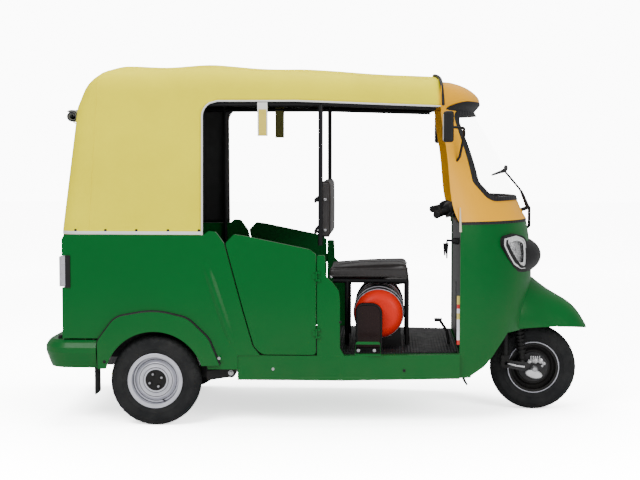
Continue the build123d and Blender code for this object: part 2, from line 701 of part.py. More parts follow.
COWL_WALL = 14
UPPER_WALL = 22
COWL_TOP_Z = 1066
UPPER_BOTTOM_Z = 1082
COWL_ROWS = [  # z, rear station from the cowl's rear edge, half width there, front station
    (250, 0, 500, 377),
    (480, 0, 512, 407),
    (735, 0, 524, 423),
    (COWL_TOP_Z, 0, COWL_HALF, 393),
]
UPPER_ROWS = [
    (UPPER_BOTTOM_Z, -7, COWL_HALF, 391),
    (1178, -43, 522, 343),
    (1350, -63, 515, 276),
    (1510, -83, 507, 192),
    (1690, -106, 500, 84),
]
VISOR_ROWS = [
    (1690, -106, 500, 88),
    (1716, -106, 498, 126),
    (1762, -106, 488, 108),
    (1800, -106, 460, 56),
    (1818, -106, 400, 14),
    (1832, -106, 190, -24),
]


def bow(z, rear, half, front, inset=0, reach=0):
    """Level face with a straight rear edge and one arc round the front, inset along the arc's radius."""
    depth = front - rear
    radius = (half**2 + depth**2) / (2 * depth)
    centre = COWL_REAR_X + front - radius
    r = radius - inset
    x = COWL_REAR_X + rear - reach
    y = math.sqrt(r**2 - (x - centre) ** 2)
    arc = ThreePointArc((x, y, z), (centre + r, 0, z), (x, -y, z))
    return make_face([arc, Line((x, -y, z), (x, y, z))])


def bowed(rows, inset=0, reach=0, lift=0, drop=0):
    """Body lofted through level bow faces; lift and drop move the two end faces."""
    last = len(rows) - 1
    faces = []
    for i, (z, rear_x, half, front_x) in enumerate(rows):
        z += (lift if i == last else 0) - (drop if i == 0 else 0)
        faces.append(bow(z, rear_x, half, front_x, inset, reach))
    return loft(faces)


BEAK_ROWS = [  # x from the front tip, half width, bottom z, top z
    (-473, 300, 488, 815),
    (-307, 235, 488, 752),
    (-240, 206, 488, 700),
    (-175, 180, 486, 658),
    (-108, 152, 482, 618),
    (-48, 116, 476, 562),
    (0, 60, 468, 486),
]


def beak(inset):
    faces = []
    for x, half, z0, z1 in BEAK_ROWS:
        x += FRONT_TIP_X
        h, top = max(half - inset, 4), max(z1 - inset, z0 + 2)
        arc = ThreePointArc((x, -h, z0 - inset), (x, 0, top), (x, h, z0 - inset))
        faces.append(make_face([arc, Line((x, h, z0 - inset), (x, -h, z0 - inset))]))
    return loft(faces)


FRONT_ARCH = [  # lower edge of the cowl round the front wheel: x from the front axle, z, corner radius
    (-481, 200, 0),
    (-376, 200, 0),
    (-375, 259, 0),
    (-301, 305, 60),
    (-261, 350, 60),
    (-196, 440, 60),
    (-171, 476, 0),
    (119, 489, 0),
    (119, 200, 0),
]


def build_front_cowl():
    cowl = bowed(COWL_ROWS) + beak(0)
    hollow = bowed(COWL_ROWS, COWL_WALL, 30, 20, 20)
    hollow += beak(COWL_WALL)
    cowl -= hollow
    cowl -= side_plate([(FRONT_AXLE_X + x, z, r) for x, z, r in FRONT_ARCH], -700, 700)
    for side in (-1, 1):
        cowl -= lamp_plate(BEZEL_ROWS, side, -400, 60, SEAT_GAP)
    cowl -= rod(STEER_LOW - STEER_AXIS * 9, STEER_TOP + STEER_AXIS * 90, HEAD_TUBE_RADIUS + 6)
    add("front_cowl", cowl)


HEADLAMP = (COWL_REAR_X + 304, 320, 908)  # where the lamp's axis meets the cowl
HEADLAMP_TURN = 40  # degrees outwards from straight ahead
BEZEL_ROWS = [  # towards the nose, up, corner radius, in the lamp's own plane
    (-128, 92, 30),
    (-30, 104, 60),
    (92, 80, 60),
    (104, -60, 40),
    (60, -110, 40),
    (-20, -82, 70),
    (-78, -28, 60),
    (-130, 42, 24),
]
LENS_ROWS = [
    (-98, 76, 16),
    (-10, 84, 60),
    (68, 62, 50),
    (84, -10, 60),
    (80, -84, 16),
    (30, -66, 40),
    (-38, 2, 60),
]
MASK_ROWS = [(790, 297, 340, 416), (822, 297, 340, 458), (925, 297, 340, 460), (960, 297, 340, 420)]


def lamp_plate(rows, side, low, high, grow=0):
    """Plate across the lamp's axis between two distances from the cowl, outlined in the lamp's plane."""
    a = math.radians(HEADLAMP_TURN)
    n = Vector(math.cos(a), side * math.sin(a), 0)
    x, y, z = HEADLAMP
    origin = Vector(x, side * y, z) + n * low
    plane = Plane(origin=origin, x_dir=(math.sin(a), -side * math.cos(a), 0), z_dir=n)
    if side > 0:
        rows = [(-u, v, r) for u, v, r in rows]
        plane = Plane(origin=origin, x_dir=(-math.sin(a), math.cos(a), 0), z_dir=n)
    face = outline(plane, rows)
    if grow:
        face = offset(face, grow)
    return extrude(face, high - low, dir=n)


def build_headlamps():
    """Leaf-shaped bezels on the cowl's corners joined by a bulged mask, with lenses inside."""
    bezels, lenses = bowed(MASK_ROWS) - bowed(COWL_ROWS, -SEAT_GAP, 30), []
    for side in (-1, 1):
        bezels += lamp_plate(BEZEL_ROWS, side, -46, 14)
    for side in (-1, 1):
        bezels -= lamp_plate(LENS_ROWS, side, -26, 60)
        lenses.append(lamp_plate(LENS_ROWS, side, -18, 12, -SEAT_GAP))
    add("headlamp_bezels", bezels)
    add("headlamp_lenses", Compound(children=lenses))


GLASS_ROWS = [  # y, z, corner radius of the windscreen opening
    (-405, 1186, 60),
    (405, 1186, 60),
    (452, 1290, 60),
    (424, 1668, 50),
    (-424, 1668, 50),
    (-452, 1290, 60),
]


def windscreen_opening(shrink):
    """Cutter for the windscreen opening, shrunk on all sides."""
    rows = []
    for y, z, r in GLASS_ROWS:
        rise = shrink if z < 1200 else -shrink if z > 1600 else 0
        rows.append((y - math.copysign(shrink, y), z + rise, r))
    return front_plate(rows, COWL_REAR_X - 183, COWL_REAR_X + 557)


def build_upper_cowl():
    """Upper cowl, A posts and visor as one shell open to the rear."""
    shell = bowed(UPPER_ROWS, lift=2) + bowed(VISOR_ROWS)
    w = UPPER_WALL
    hollow = bowed(UPPER_ROWS, w, 60, 3, 1) + bowed(VISOR_ROWS, w, 60, -16, 1)
    shell -= hollow
    shell -= windscreen_opening(0)
    add("upper_cowl", shell)
    skin = bowed(UPPER_ROWS, -4, 0) - bowed(UPPER_ROWS, w + 4, 60, 1, 1)
    seal = (skin & windscreen_opening(SEAT_GAP)) - windscreen_opening(22)
    strip_rows = [
        (COWL_TOP_Z + SEAT_GAP, 0, COWL_HALF + 2, 394),
        (UPPER_BOTTOM_Z - SEAT_GAP, -3, COWL_HALF + 2, 392),
    ]
    strip = bowed(strip_rows) - bowed(strip_rows, COWL_WALL, 30, 1, 1)
    add("seals", Compound(children=[seal, strip]))
    sheet = bowed(UPPER_ROWS, 5, 0) - bowed(UPPER_ROWS, 11, 60, 1, 1)
    add("windscreen_glass", sheet & windscreen_opening(22 + SEAT_GAP))


def build_dashboard():
    """Inner cowl: a bulkhead from the floor and the dash shelf round the column."""
    y, x = 450, COWL_REAR_X
    dash = block(x + 5, x + 19, -y, y, MAT_TOP_Z + 4, COWL_TOP_Z - 21)
    shelf = bow(COWL_TOP_Z - 22, 5, 503, 367)
    dash += extrude(shelf, 14, dir=(0, 0, 1))
    dash -= rod(STEER_LOW, STEER_TOP + STEER_AXIS * 90, HEAD_TUBE_RADIUS + SEAT_GAP)
    dash -= block(x - 53, x + 57, -30 - SEAT_GAP, 30 + SEAT_GAP, 200, 720)
    add("dashboard", dash)


# ---------------------------------------------------------------- roof


HOOD_STATIONS = [  # x, half width at the bottom, lean of the side, eave z, crown z
    (BODY_REAR_X - 8, 604, 36, 1860, 1926),
    (HOOD_SIDE_X, 612, 36, 1878, 1944),
    (2, 606, 32, 1858, 1920),
    (HOOD_FRONT_X, 508, 26, 1826, 1890),
]


def hood_body(inset, reach=0):
    """Canvas outline lofted through sections across the vehicle, inset on all sides."""
    faces = []
    last = len(HOOD_STATIONS) - 1
    for i, (x, half, lean, eave, crown) in enumerate(HOOD_STATIONS):
        h, e, c = half - inset, half - lean - inset, 118 - inset
        x += reach if i == last else -reach if i == 0 else 0
        plane = Plane(origin=(x, 0, 0), x_dir=(0, 1, 0), z_dir=(1, 0, 0))
        top, low = eave - inset, HOOD_BOTTOM_Z - (1 if inset else 0)
        middle = (0, crown - inset, 1500)
        rows = [(-h, low, 0), (-e, top, c), middle, (e, top, c), (h, low, 0)]
        faces.append(outline(plane, rows))
    return loft(faces, ruled=True)


def rear_slope(inset):
    """Everything behind the hood's sloping rear and outside its rounded rear corners, as a cutter."""
    rear = BODY_REAR_X + inset
    rows = [
        (rear, 900, 0),
        (rear + 2, 1040, 0),
        (rear + 86, 1685, 0),
        (rear + 182, 1940 - inset, 150),
        (HOOD_SIDE_X, 2060 - inset, 0),
        (rear - 250, 2060, 0),
        (rear - 250, 900, 0),
    ]
    cutter = side_plate(rows, -700, 700)
    r = HOOD_CORNER - inset
    for side in (-1, 1):
        faces = []
        for z, back in ((1000, 0), (1685, 86), (1960, 190)):
            x = rear + back
            h = rail_y(x + r, z, inset)
            tip, side_end = (x, side * (h - r), z), (x + r, side * (h + 0.1), z)
            middle = (x + r * 0.293, side * (h - r * 0.293), z)
            far_y = side * (h + 60)
            far = [(x + r, far_y, z), (x - 60, far_y, z), (x - 60, side * (h - r), z)]
            runs = [Line(a, b) for a, b in zip([side_end] + far, far + [tip])]
            faces.append(make_face([ThreePointArc(tip, middle, side_end)] + runs))
        cutter += loft(faces, ruled=True)
    return cutter


WINDOW_ROWS = [(-380, 1160, 40), (-380, 1560, 40), (380, 1560, 40), (380, 1160, 40)]


def build_hood():
    """Canvas hood: closed solid with the doors, front and rear window open."""
    canvas = hood_body(0) - rear_slope(0)
    hollow = hood_body(HOOD_WALL, 40) - rear_slope(HOOD_WALL)
    canvas -= hollow
    canvas -= block(HOOD_SIDE_X, HOOD_FRONT_X + 50, -700, 700, 900, VALANCE_Z)
    canvas -= front_plate(WINDOW_ROWS, BODY_REAR_X - 100, BODY_REAR_X + 200)
    add("hood_canopy", canvas)


def hood_station(x):
    """Half width, lean, eave and crown of the hood at a station, between the table's rows."""
    rows = HOOD_STATIONS
    for low, high in zip(rows, rows[1:]):
        if low[0] <= x <= high[0]:
            share = (x - low[0]) / (high[0] - low[0])
            return [a + (b - a) * share for a, b in zip(low[1:], high[1:])]
    raise ValueError("the station lies outside the hood")


HOOP_INSET = HOOD_WALL + TUBE + 3
REAR_HOOP_X = REAR_AXLE_X - 223
RAIL_END_X = HOOD_FRONT_X - 26
BACK_BAR_RADIUS = 9
BACK_BAR_X = POST_X - TUBE - BACK_BAR_RADIUS + 2
BACK_BAR_Z = (1047, 1205)


def hoop(x, foot, z_foot, bend):
    """Tube that follows the hood's section from inside, down to its foot on either side."""
    half, lean, eave, crown = hood_station(x)
    top = half - lean - HOOP_INSET
    points = [
        (x, -foot, z_foot),
        (x, -top, eave - HOOP_INSET),
        (x, 0, crown - HOOP_INSET - 4),
        (x, top, eave - HOOP_INSET),
        (x, foot, z_foot),
    ]
    return bent_tube(points, TUBE, [bend, 900, bend])


def rail_y(x, z, inset=HOOP_INSET):
    """Distance of the hood's side from the middle plane, less an inset."""
    half, lean, eave, _ = hood_station(x)
    return half - lean * (z - HOOD_BOTTOM_Z) / (eave - HOOD_BOTTOM_Z) - inset


def build_roof_frame():
    """Hoops, side rails, front bow, B pillars and the backrest's bars, welded into one frame."""
    z, end = RAIL_Z, RAIL_END_X
    front_rail_y = rail_y(end, z - 20)
    frame = hoop(POST_X, POST_Y, 960, 95)
    frame += hoop(HOOD_SIDE_X - 20, POST_Y, DECK_Z + 1, 95) + hoop(REAR_HOOP_X, POST_Y, DECK_Z + 1, 95)
    frame += hoop(end, front_rail_y, z - 20, 95)
    for side in (-1, 1):
        corners = [(x, side * rail_y(x, z), z) for x in (REAR_HOOP_X, POST_X)]
        corners.append((end, side * front_rail_y, z - 20))
        for start, stop in zip(corners, corners[1:]):
            frame += rod(start, stop, TUBE)
    for bar_z in BACK_BAR_Z:
        frame += rod((BACK_BAR_X, -POST_Y, bar_z), (BACK_BAR_X, POST_Y, bar_z), BACK_BAR_RADIUS)
    add("roof_frame", frame)


# ---------------------------------------------------------------- seats, gas cylinder, small pieces


def cushion(x0, x1, y0, y1, z0, z1, radius):
    pad = block(x0, x1, y0, y1, z0, z1)
    return fillet(pad.edges(), radius)


SEAT_Z = (752, 822)
SEAT_HALF = 235
FRAME_LEG_X = (137, 468)


def build_seats():
    z0, z1 = SEAT_Z
    add("driver_seat", cushion(33, 478, -SEAT_HALF, SEAT_HALF, z0 + SEAT_GAP, z1, 22))
    frame = Part()
    y, r = SEAT_HALF - 16, 12
    tube_z = z0 - r
    for side in (-y, y):
        for x in FRAME_LEG_X:
            frame += rod((x, side, MAT_TOP_Z + SEAT_GAP), (x, side, tube_z), r)
        frame += rod((60, side, tube_z), (FRAME_LEG_X[1], side, tube_z), r)
    for x in FRAME_LEG_X:
        frame += rod((x, -y, tube_z), (x, y, tube_z), r)
    add("driver_seat_frame", frame)
    pad_x = BACK_BAR_X + BACK_BAR_RADIUS + SEAT_GAP
    add("driver_backrest", cushion(pad_x, pad_x + 50, -300, 300, 978, 1296, 12))
    axle, half = REAR_AXLE_X, 390
    seat_x, back_x = axle - 133, axle - 223
    add("passenger_seat", cushion(seat_x, axle + 307, -half, half, 700, 800, 26))
    add("passenger_backrest", cushion(back_x, seat_x - SEAT_GAP, -half, half, 700, 1320, 26))
    side = BODY_HALF - PANEL - 1
    deck = block(axle - 443, axle + 307, -side, side, DECK_Z - FLOOR, DECK_Z)
    deck += block(axle + 280, axle + 301, -480, 480, SILL_TOP_Z + SEAT_GAP, DECK_Z - 1)
    deck += block(back_x + 10, axle + 287, -380, 380, DECK_Z - 1, 700 - SEAT_GAP)
    add("engine_deck", deck)


CYLINDER = (313, 573, 131, 400)  # x, z, radius, half length


def build_gas_cylinder():
    x, z, r, half = CYLINDER
    tank = rod((x, -half, z), (x, half, z), r)
    tank = fillet(tank.edges(), r * 0.45)
    add("gas_cylinder", tank)
    floor_z = MAT_TOP_Z + SEAT_GAP
    cradle = Part()
    for y in (-260, 260):
        band = rod((x, y - 25, z), (x, y + 25, z), r + 6) - rod((x, y - 26, z), (x, y + 26, z), r + SEAT_GAP)
        foot = block(x - 120, x + 120, y - 25, y + 25, floor_z, z - 90)
        foot -= rod((x, y - 26, z), (x, y + 26, z), r + SEAT_GAP)
        cradle += band + foot
    for cx in (x - 120, x + 90):
        cradle += block(cx, cx + 30, -280, 280, floor_z, floor_z + 22)
    gx0, gx1 = x - 123, x + 21
    guard_rows = [(gx0, floor_z, 0), (gx0, 642, 45), (gx1, 642, 60), (gx1, floor_z, 0)]
    guard = side_plate(guard_rows, -half - 50, -half - 12)
    guard += block(gx0 + 17, gx0 + 42, -half - 13, -260, floor_z, floor_z + 22)
    add("cylinder_cradle", cradle + guard)


def build_small_pieces():
    cowl = COWL_REAR_X
    flap_x = REAR_AXLE_X - 323
    flap = block(flap_x, flap_x + 8, -BUMPER_HALF + BUMPER_WALL + SEAT_GAP, -490, 165, 335)
    add("mud_flaps", both_sides(flap))
    half = MIRROR_SPAN / 2
    head = cushion(cowl - 98, cowl - 46, -half, -half + 120, 1500, 1660, 14)
    arm_points = [(-60, -half + 100, 1580), (12, -560, 1574), (17, -525, 1545)]
    arm_points += [(-6, -500, 1424), (-22, -480, 1400)]
    arm = bent_tube([(cowl + x, y, z) for x, y, z in arm_points], 7, 12)
    arm -= bowed(UPPER_ROWS, -SEAT_GAP)
    add("mirrors", both_sides(head + arm))
    strip = block(cowl - 15, cowl - SEAT_GAP, -509, -504, 431, 690)
    add("reflective_strips", strip)
    roll_x = BODY_REAR_X + 39.4
    add("curtain_roll", rod((roll_x, -585, 1640), (roll_x, 585, 1640), 40))
    strap_top = RAIL_Z - TUBE - SEAT_GAP
    strap_y = rail_y(-296, RAIL_Z)
    add("hanging_straps", both_sides(block(-323, -270, -strap_y - 3, -strap_y + 3, 1533, strap_top)))
    wiper = rod((cowl + 340, 20, 1112), (cowl + 407, 20, 1138), 11) - bowed(UPPER_ROWS, -SEAT_GAP)
    arm_points = [(403, 20, 1136), (362, 5, 1237), (254, -162, 1350)]
    wiper += bent_tube([(cowl + x, y, z) for x, y, z in arm_points], 6, 60)
    blade_points = [(269, -60, 1364), (260, -170, 1348), (177, -334, 1326)]
    wiper += bent_tube([(cowl + x, y, z) for x, y, z in blade_points], 5, 500)
    wiper -= bowed(UPPER_ROWS, 5 - SEAT_GAP)
    add("wiper", wiper)
    foot = (cowl - 43, -180, MAT_TOP_Z + SEAT_GAP)
    pedal = bent_tube([foot, (cowl - 53, -180, 460), (cowl - 93, -180, 520)], 8, 20)
    pedal -= block(cowl - 63, cowl - 23, -200, -160, SILL_TOP_Z, MAT_TOP_Z + SEAT_GAP)
    pedal += block(cowl - 123, cowl - 83, -215, -145, 516, 526)
    add("brake_pedal", pedal)


build_rear_wheels()
build_trailing_arms()
build_rear_springs()
build_front_wheel()
build_link()
build_fork()
build_handlebar()
build_body_sides()
build_tail_lamps()
build_doors()
build_b_posts()
build_rear_panel()
build_tailgate()
build_rear_bumper()
build_arch_flares()
build_wheelhouses()
build_floor_pan()
build_chassis()
build_engine()
build_front_cowl()
build_headlamps()
build_upper_cowl()
build_dashboard()
build_hood()
build_roof_frame()
build_seats()
build_gas_cylinder()
build_small_pieces()

for name, shape in nodes.items():
    export_step(shape, "parts/" + name + ".step")
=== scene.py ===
"""Auto rickshaw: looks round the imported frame. Metres; +X forward, +Y the vehicle's left, +Z up."""

import json
import math
import bmesh
import bpy
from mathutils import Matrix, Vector
from mathutils.bvhtree import BVHTree


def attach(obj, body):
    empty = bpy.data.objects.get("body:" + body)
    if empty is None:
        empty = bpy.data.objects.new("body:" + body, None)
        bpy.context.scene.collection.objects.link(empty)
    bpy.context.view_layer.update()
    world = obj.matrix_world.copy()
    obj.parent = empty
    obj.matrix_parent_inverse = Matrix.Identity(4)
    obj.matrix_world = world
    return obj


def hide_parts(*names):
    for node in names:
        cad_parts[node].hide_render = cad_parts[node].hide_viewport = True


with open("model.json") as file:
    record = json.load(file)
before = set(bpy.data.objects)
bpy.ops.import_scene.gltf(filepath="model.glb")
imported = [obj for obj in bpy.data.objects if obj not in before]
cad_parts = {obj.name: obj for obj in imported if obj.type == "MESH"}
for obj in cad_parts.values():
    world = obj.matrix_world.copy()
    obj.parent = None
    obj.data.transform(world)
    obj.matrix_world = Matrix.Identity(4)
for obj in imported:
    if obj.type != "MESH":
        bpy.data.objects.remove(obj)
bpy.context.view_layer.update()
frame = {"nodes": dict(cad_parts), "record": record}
NODES = frame["nodes"]
SIDES = ((-1, "right"), (1, "left"))  # sign of Y and name


# ---------------------------------------------------------------- camera and light

CAMERA = {"place": (0.365, -7.606, 1.463), "target": (-0.0235, 0, 0.9498)}
LENS_MM = 75.61
LIGHTS = [  # name, place, target, size, power
    ("key", (-2.6, -4.6, 4.6), (0, 0, 0.8), (3.5, 2.5), 235),
    ("fill", (3.6, -4.2, 2.6), (0.4, 0, 0.8), (3.0, 2.4), 115),
    ("top", (0, 0.4, 4.4), (0, 0, 0.8), (4.5, 2.5), 135),
]
AMBIENT = 0.5
BACKDROP = 11.0


def add(name, data):
    obj = bpy.data.objects.new(name, data)
    bpy.context.scene.collection.objects.link(obj)
    return obj


def aimed(name, data, place, target):
    """New object that stands at a place and looks at a target."""
    obj = add(name, data)
    obj.location = place
    obj.rotation_mode = "QUATERNION"
    obj.rotation_quaternion = (Vector(target) - Vector(place)).to_track_quat("-Z", "Y")
    return obj


def make_camera():
    data = bpy.data.cameras.new("camera")
    data.sensor_width = 36
    data.lens = LENS_MM
    bpy.context.scene.camera = aimed("camera", data, **CAMERA)


def make_light(name, place, target, size, power):
    data = bpy.data.lights.new(name, "AREA")
    data.shape = "RECTANGLE"
    data.size, data.size_y = size
    data.energy = power
    aimed(name, data, place, target)


def make_world():
    """Soft light from all round, and a white backdrop where nothing stands."""
    world = bpy.data.worlds.new("studio")
    world.use_nodes = True
    tree = world.node_tree
    background = tree.nodes["Background"]
    background.inputs["Color"].default_value = (1, 1, 1, 1)
    seen = tree.nodes.new("ShaderNodeLightPath")
    level = tree.nodes.new("ShaderNodeMapRange")
    level.inputs["To Min"].default_value = AMBIENT
    level.inputs["To Max"].default_value = BACKDROP
    tree.links.new(seen.outputs["Is Camera Ray"], level.inputs["Value"])
    tree.links.new(level.outputs["Result"], background.inputs["Strength"])
    bpy.context.scene.world = world


make_camera()
make_world()
for light in LIGHTS:
    make_light(*light)


# ---------------------------------------------------------------- materials

MATERIALS = {}
WAVE_LENGTH = 0.314  # metres from crest to crest of a wave texture at scale 1


def shade(color, factor):
    return tuple(min(1.0, c * factor) for c in color)


class Shader:
    """A procedural material and short ways to add its nodes. Coordinates are the object's own, in metres."""

    def __init__(self, name):
        self.mat = bpy.data.materials.new(name)
        self.mat.use_nodes = True
        self.tree = self.mat.node_tree
        self.bsdf = self.tree.nodes["Principled BSDF"]
        self.coords = self.node("TexCoord").outputs["Object"]
        MATERIALS[name] = self.mat

    def node(self, kind, sockets=None, **settings):
        made = self.tree.nodes.new("ShaderNode" + kind)
        for key, value in settings.items():
            setattr(made, key, value)
        for key, value in (sockets or {}).items():
            self.plug(made.inputs[key], value)
        return made

    def plug(self, socket, value):
        if isinstance(value, bpy.types.NodeSocket):
            self.tree.links.new(value, socket)
        elif isinstance(value, tuple) and len(value) == 3 and len(socket.default_value) == 4:
            socket.default_value = (*value, 1)
        else:
            socket.default_value = value

    def set(self, **values):
        for key, value in values.items():
            self.plug(self.bsdf.inputs[key.replace("_", " ")], value)

    def noise(self, scale, detail=3.0, rough=0.55):
        sockets = {"Vector": self.coords, "Scale": scale, "Detail": detail, "Roughness": rough}
        return self.node("TexNoise", sockets).outputs["Fac"]

    def cells(self, scale):
        return self.node("TexVoronoi", {"Vector": self.coords, "Scale": scale}).outputs["Distance"]

    def ribs(self, pitch, axis):
        """Smooth ribs across an axis, that many metres apart."""
        sockets = {"Vector": self.coords, "Scale": WAVE_LENGTH / pitch}
        return self.node("TexWave", sockets, bands_direction=axis).outputs["Fac"]

    def weave(self, pitch):
        """Height of a plain weave with that thread pitch."""
        across = self.ribs(pitch, "X")
        along = self.math("MAXIMUM", self.ribs(pitch, "Y"), self.ribs(pitch, "Z"))
        return self.math("ADD", across, along)

    def part(self, axis):
        return self.node("SeparateXYZ", {"Vector": self.coords}).outputs[axis]

    def span(self, value, low, high, to_low=0.0, to_high=1.0):
        sockets = {"Value": value, "From Min": low, "From Max": high, "To Min": to_low, "To Max": to_high}
        return self.node("MapRange", sockets).outputs["Result"]

    def math(self, how, a, b):
        return self.node("Math", {0: a, 1: b}, operation=how).outputs["Value"]

    def mix(self, share, a, b):
        return self.node("Mix", {0: share, 6: a, 7: b}, data_type="RGBA").outputs[2]

    def bump(self, height, strength, depth, below=None):
        sockets = {"Height": height, "Strength": strength, "Distance": depth}
        if below:
            sockets["Normal"] = below
        return self.node("Bump", sockets).outputs["Normal"]

    def edges(self, radius):
        """1 on edges and corners, 0 on flat parts."""
        rounded = self.node("Bevel", {"Radius": radius}, samples=4).outputs["Normal"]
        flat = self.node("NewGeometry").outputs["Normal"]
        alike = self.node("VectorMath", {0: rounded, 1: flat}, operation="DOT_PRODUCT")
        return self.span(alike.outputs["Value"], 0.995, 0.8)

    def tone(self, color, low, high, scale, detail):
        """The colour, drifting between two brightnesses."""
        return self.mix(self.noise(scale, detail), shade(color, low), shade(color, high))

    def worn(self, tone, color, radius, share, factor):
        """The tone with brighter edges."""
        return self.mix(self.math("MULTIPLY", self.edges(radius), share), tone, shade(color, factor))

    def uneven(self, rough, less, more, scale, detail=3.0):
        """Roughness that drifts round a value."""
        self.set(Roughness=self.span(self.noise(scale, detail), 0.3, 0.7, rough - less, rough + more))


def paint(name, color, rough=0.34, coat=0.08, dust=0.07):
    """Gloss paint: faint orange peel, uneven gloss, road dust low down and lighter rubbed edges."""
    s = Shader(name)
    rubbed = s.worn(s.tone(color, 0.93, 1.06, 2.6, 4), color, 0.004, 0.25, 1.7)
    low = s.span(s.part("Z"), 0.75, 0.2)
    film = s.math("MULTIPLY", s.math("MULTIPLY", low, s.noise(7.0, 6)), dust)
    s.set(Base_Color=s.mix(film, rubbed, (0.22, 0.2, 0.16)))
    s.uneven(rough, 0.04, 0.06, 24.0, 4)
    s.set(Normal=s.bump(s.noise(330.0, 2), 0.08, 0.0006))
    s.set(Specular_IOR_Level=0.16, Coat_Weight=coat, Coat_Roughness=0.12)


def canvas(name, color, pitch=0.0016, rough=0.62):
    """Coated canvas: fine weave, soft creases, faint stains and a satin sheen."""
    s = Shader(name)
    stain = s.span(s.noise(3.0, 6, 0.6), 0.35, 0.75)
    tone = s.mix(stain, shade(color, 1.03), shade(color, 0.9))
    s.set(Base_Color=s.mix(s.span(s.weave(pitch), 0.0, 2.0, 0.0, 0.12), tone, shade(color, 0.72)))
    s.uneven(rough, 0.06, 0.08, 9.0)
    creases = s.bump(s.noise(5.5, 3, 0.45), 0.22, 0.012)
    s.set(Normal=s.bump(s.weave(pitch), 0.35, 0.0003, creases), Specular_IOR_Level=0.1)


def vinyl(name, color, rough=0.42, grain=520.0):
    """Leathercloth: pebbled grain with fine creases and worn, shinier patches."""
    s = Shader(name)
    s.set(Base_Color=s.worn(s.tone(color, 0.8, 1.35, 5.0, 5), color, 0.006, 0.4, 3.0))
    s.uneven(rough, 0.08, 0.1, 12.0, 4)
    pebble = s.bump(s.cells(grain), 0.5, 0.0005)
    s.set(Normal=s.bump(s.noise(38.0, 4), 0.25, 0.002, pebble), Coat_Weight=0.08, Coat_Roughness=0.3)


def plastic(name, color, rough=0.5, grain=700.0):
    """Moulded plastic: fine spark grain and scuffed edges."""
    s = Shader(name)
    s.set(Base_Color=s.worn(s.tone(color, 0.85, 1.25, 14.0, 4), color, 0.003, 0.5, 2.6))
    s.uneven(rough, 0.06, 0.06, 60.0, 3)
    s.set(Normal=s.bump(s.noise(grain, 2), 0.25, 0.0004), Specular_IOR_Level=0.22)


def metal(name, color, rough=0.36, metallic=0.85, grain=420.0, depth=0.0004, grime=0.3):
    """Bare or silver-painted metal with casting or brushing grain and grime in patches."""
    s = Shader(name)
    patches = s.math("MULTIPLY", s.span(s.noise(16.0, 6), 0.45, 0.75), grime)
    s.set(Base_Color=s.mix(patches, s.tone(color, 0.86, 1.08, 9.0, 5), (0.06, 0.05, 0.04)), Metallic=metallic)
    s.uneven(rough, 0.08, 0.12, 46.0, 4)
    s.set(Normal=s.bump(s.noise(grain, 3), 0.3, depth))


def rubber(name, color, pitch=0.0, rough=0.72, dust=0.25):
    """Rubber with a dusty bloom, and raised ribs along Y where a pitch is given."""
    s = Shader(name)
    bloom = s.math("MULTIPLY", s.span(s.noise(11.0, 6), 0.4, 0.75), dust)
    s.set(Base_Color=s.mix(bloom, color, (0.12, 0.115, 0.105)), Specular_IOR_Level=0.3)
    s.uneven(rough, 0.08, 0.08, 30.0)
    normal = s.bump(s.noise(240.0, 3), 0.3, 0.0006)
    if pitch:
        normal = s.bump(s.ribs(pitch, "X"), 0.8, 0.002, normal)
    s.set(Normal=normal)


def glass(name, color, rough=0.02, through=1.0, pitch=0.0, alpha=1.0):
    """Clear or tinted glass with a thin film of dust, and pressed ribs where a pitch is given."""
    s = Shader(name)
    film = s.math("MULTIPLY", s.span(s.noise(8.0, 6), 0.45, 0.8), 0.12)
    s.set(Base_Color=s.mix(film, color, shade(color, 0.82)))
    s.set(Roughness=s.span(s.noise(20.0, 4), 0.35, 0.7, rough, rough + 0.05))
    s.set(Transmission_Weight=through, IOR=1.45, Alpha=alpha)
    if pitch:
        s.set(Normal=s.bump(s.ribs(pitch, "Z"), 0.6, 0.001))


RED_STRIPE = (0.6, 0.02, 0.015)
WHITE_STRIPE = (0.8, 0.8, 0.86)
GOLD_STRIPE = (0.75, 0.6, 0.12)
STRIPES = [  # colours from the bottom up, and the height up to which each one runs
    (0.455, RED_STRIPE),
    (0.565, WHITE_STRIPE),
    (0.598, GOLD_STRIPE),
    (0.622, WHITE_STRIPE),
    (0.645, RED_STRIPE),
    (0.700, GOLD_STRIPE),
]


def striped(name):
    """Reflective strip: bands of colour by height under a beaded surface."""
    s = Shader(name)
    height = s.part("Z")
    color = STRIPES[-1][1]
    for level, band in STRIPES[-2::-1]:
        color = s.mix(s.math("LESS_THAN", height, level), color, band)
    s.set(Base_Color=s.mix(s.span(s.noise(40.0, 5), 0.55, 0.8, 0.0, 0.3), color, (0.2, 0.18, 0.15)))
    s.uneven(0.2, 0.0, 0.14, 60.0, 3)
    s.set(Normal=s.bump(s.cells(420.0), 0.4, 0.0004))


# the record's slots
paint("green_paint", (0.0, 0.105, 0.016))
paint("orange_paint", (1.0, 0.44, 0.0), dust=0.1)
paint("black_paint", (0.006, 0.006, 0.007), rough=0.42, coat=0.06)
paint("cylinder_red", (0.75, 0.018, 0.004), rough=0.42, coat=0.02, dust=0.1)
paint("plate_white", (0.75, 0.75, 0.73), dust=0.2)
canvas("canvas_yellow", (0.99, 0.85, 0.0))
canvas("strap_web", (0.75, 0.6, 0.1), pitch=0.003)
vinyl("black_vinyl", (0.022, 0.019, 0.019))
rubber("rubber_black", (0.008, 0.008, 0.010), pitch=0.016, rough=0.55, dust=0.08)
rubber("tyre_black", (0.0065, 0.007, 0.008), dust=0.1)
plastic("black_plastic", (0.01, 0.01, 0.011))
metal("rim_silver", (0.68, 0.68, 0.75), metallic=0.5, grime=0.15)
metal("cast_alloy", (0.5, 0.5, 0.52), rough=0.45, grain=260.0, depth=0.001)
metal("cast_iron_grey", (0.14, 0.14, 0.145), rough=0.6, metallic=0.6, depth=0.0012)
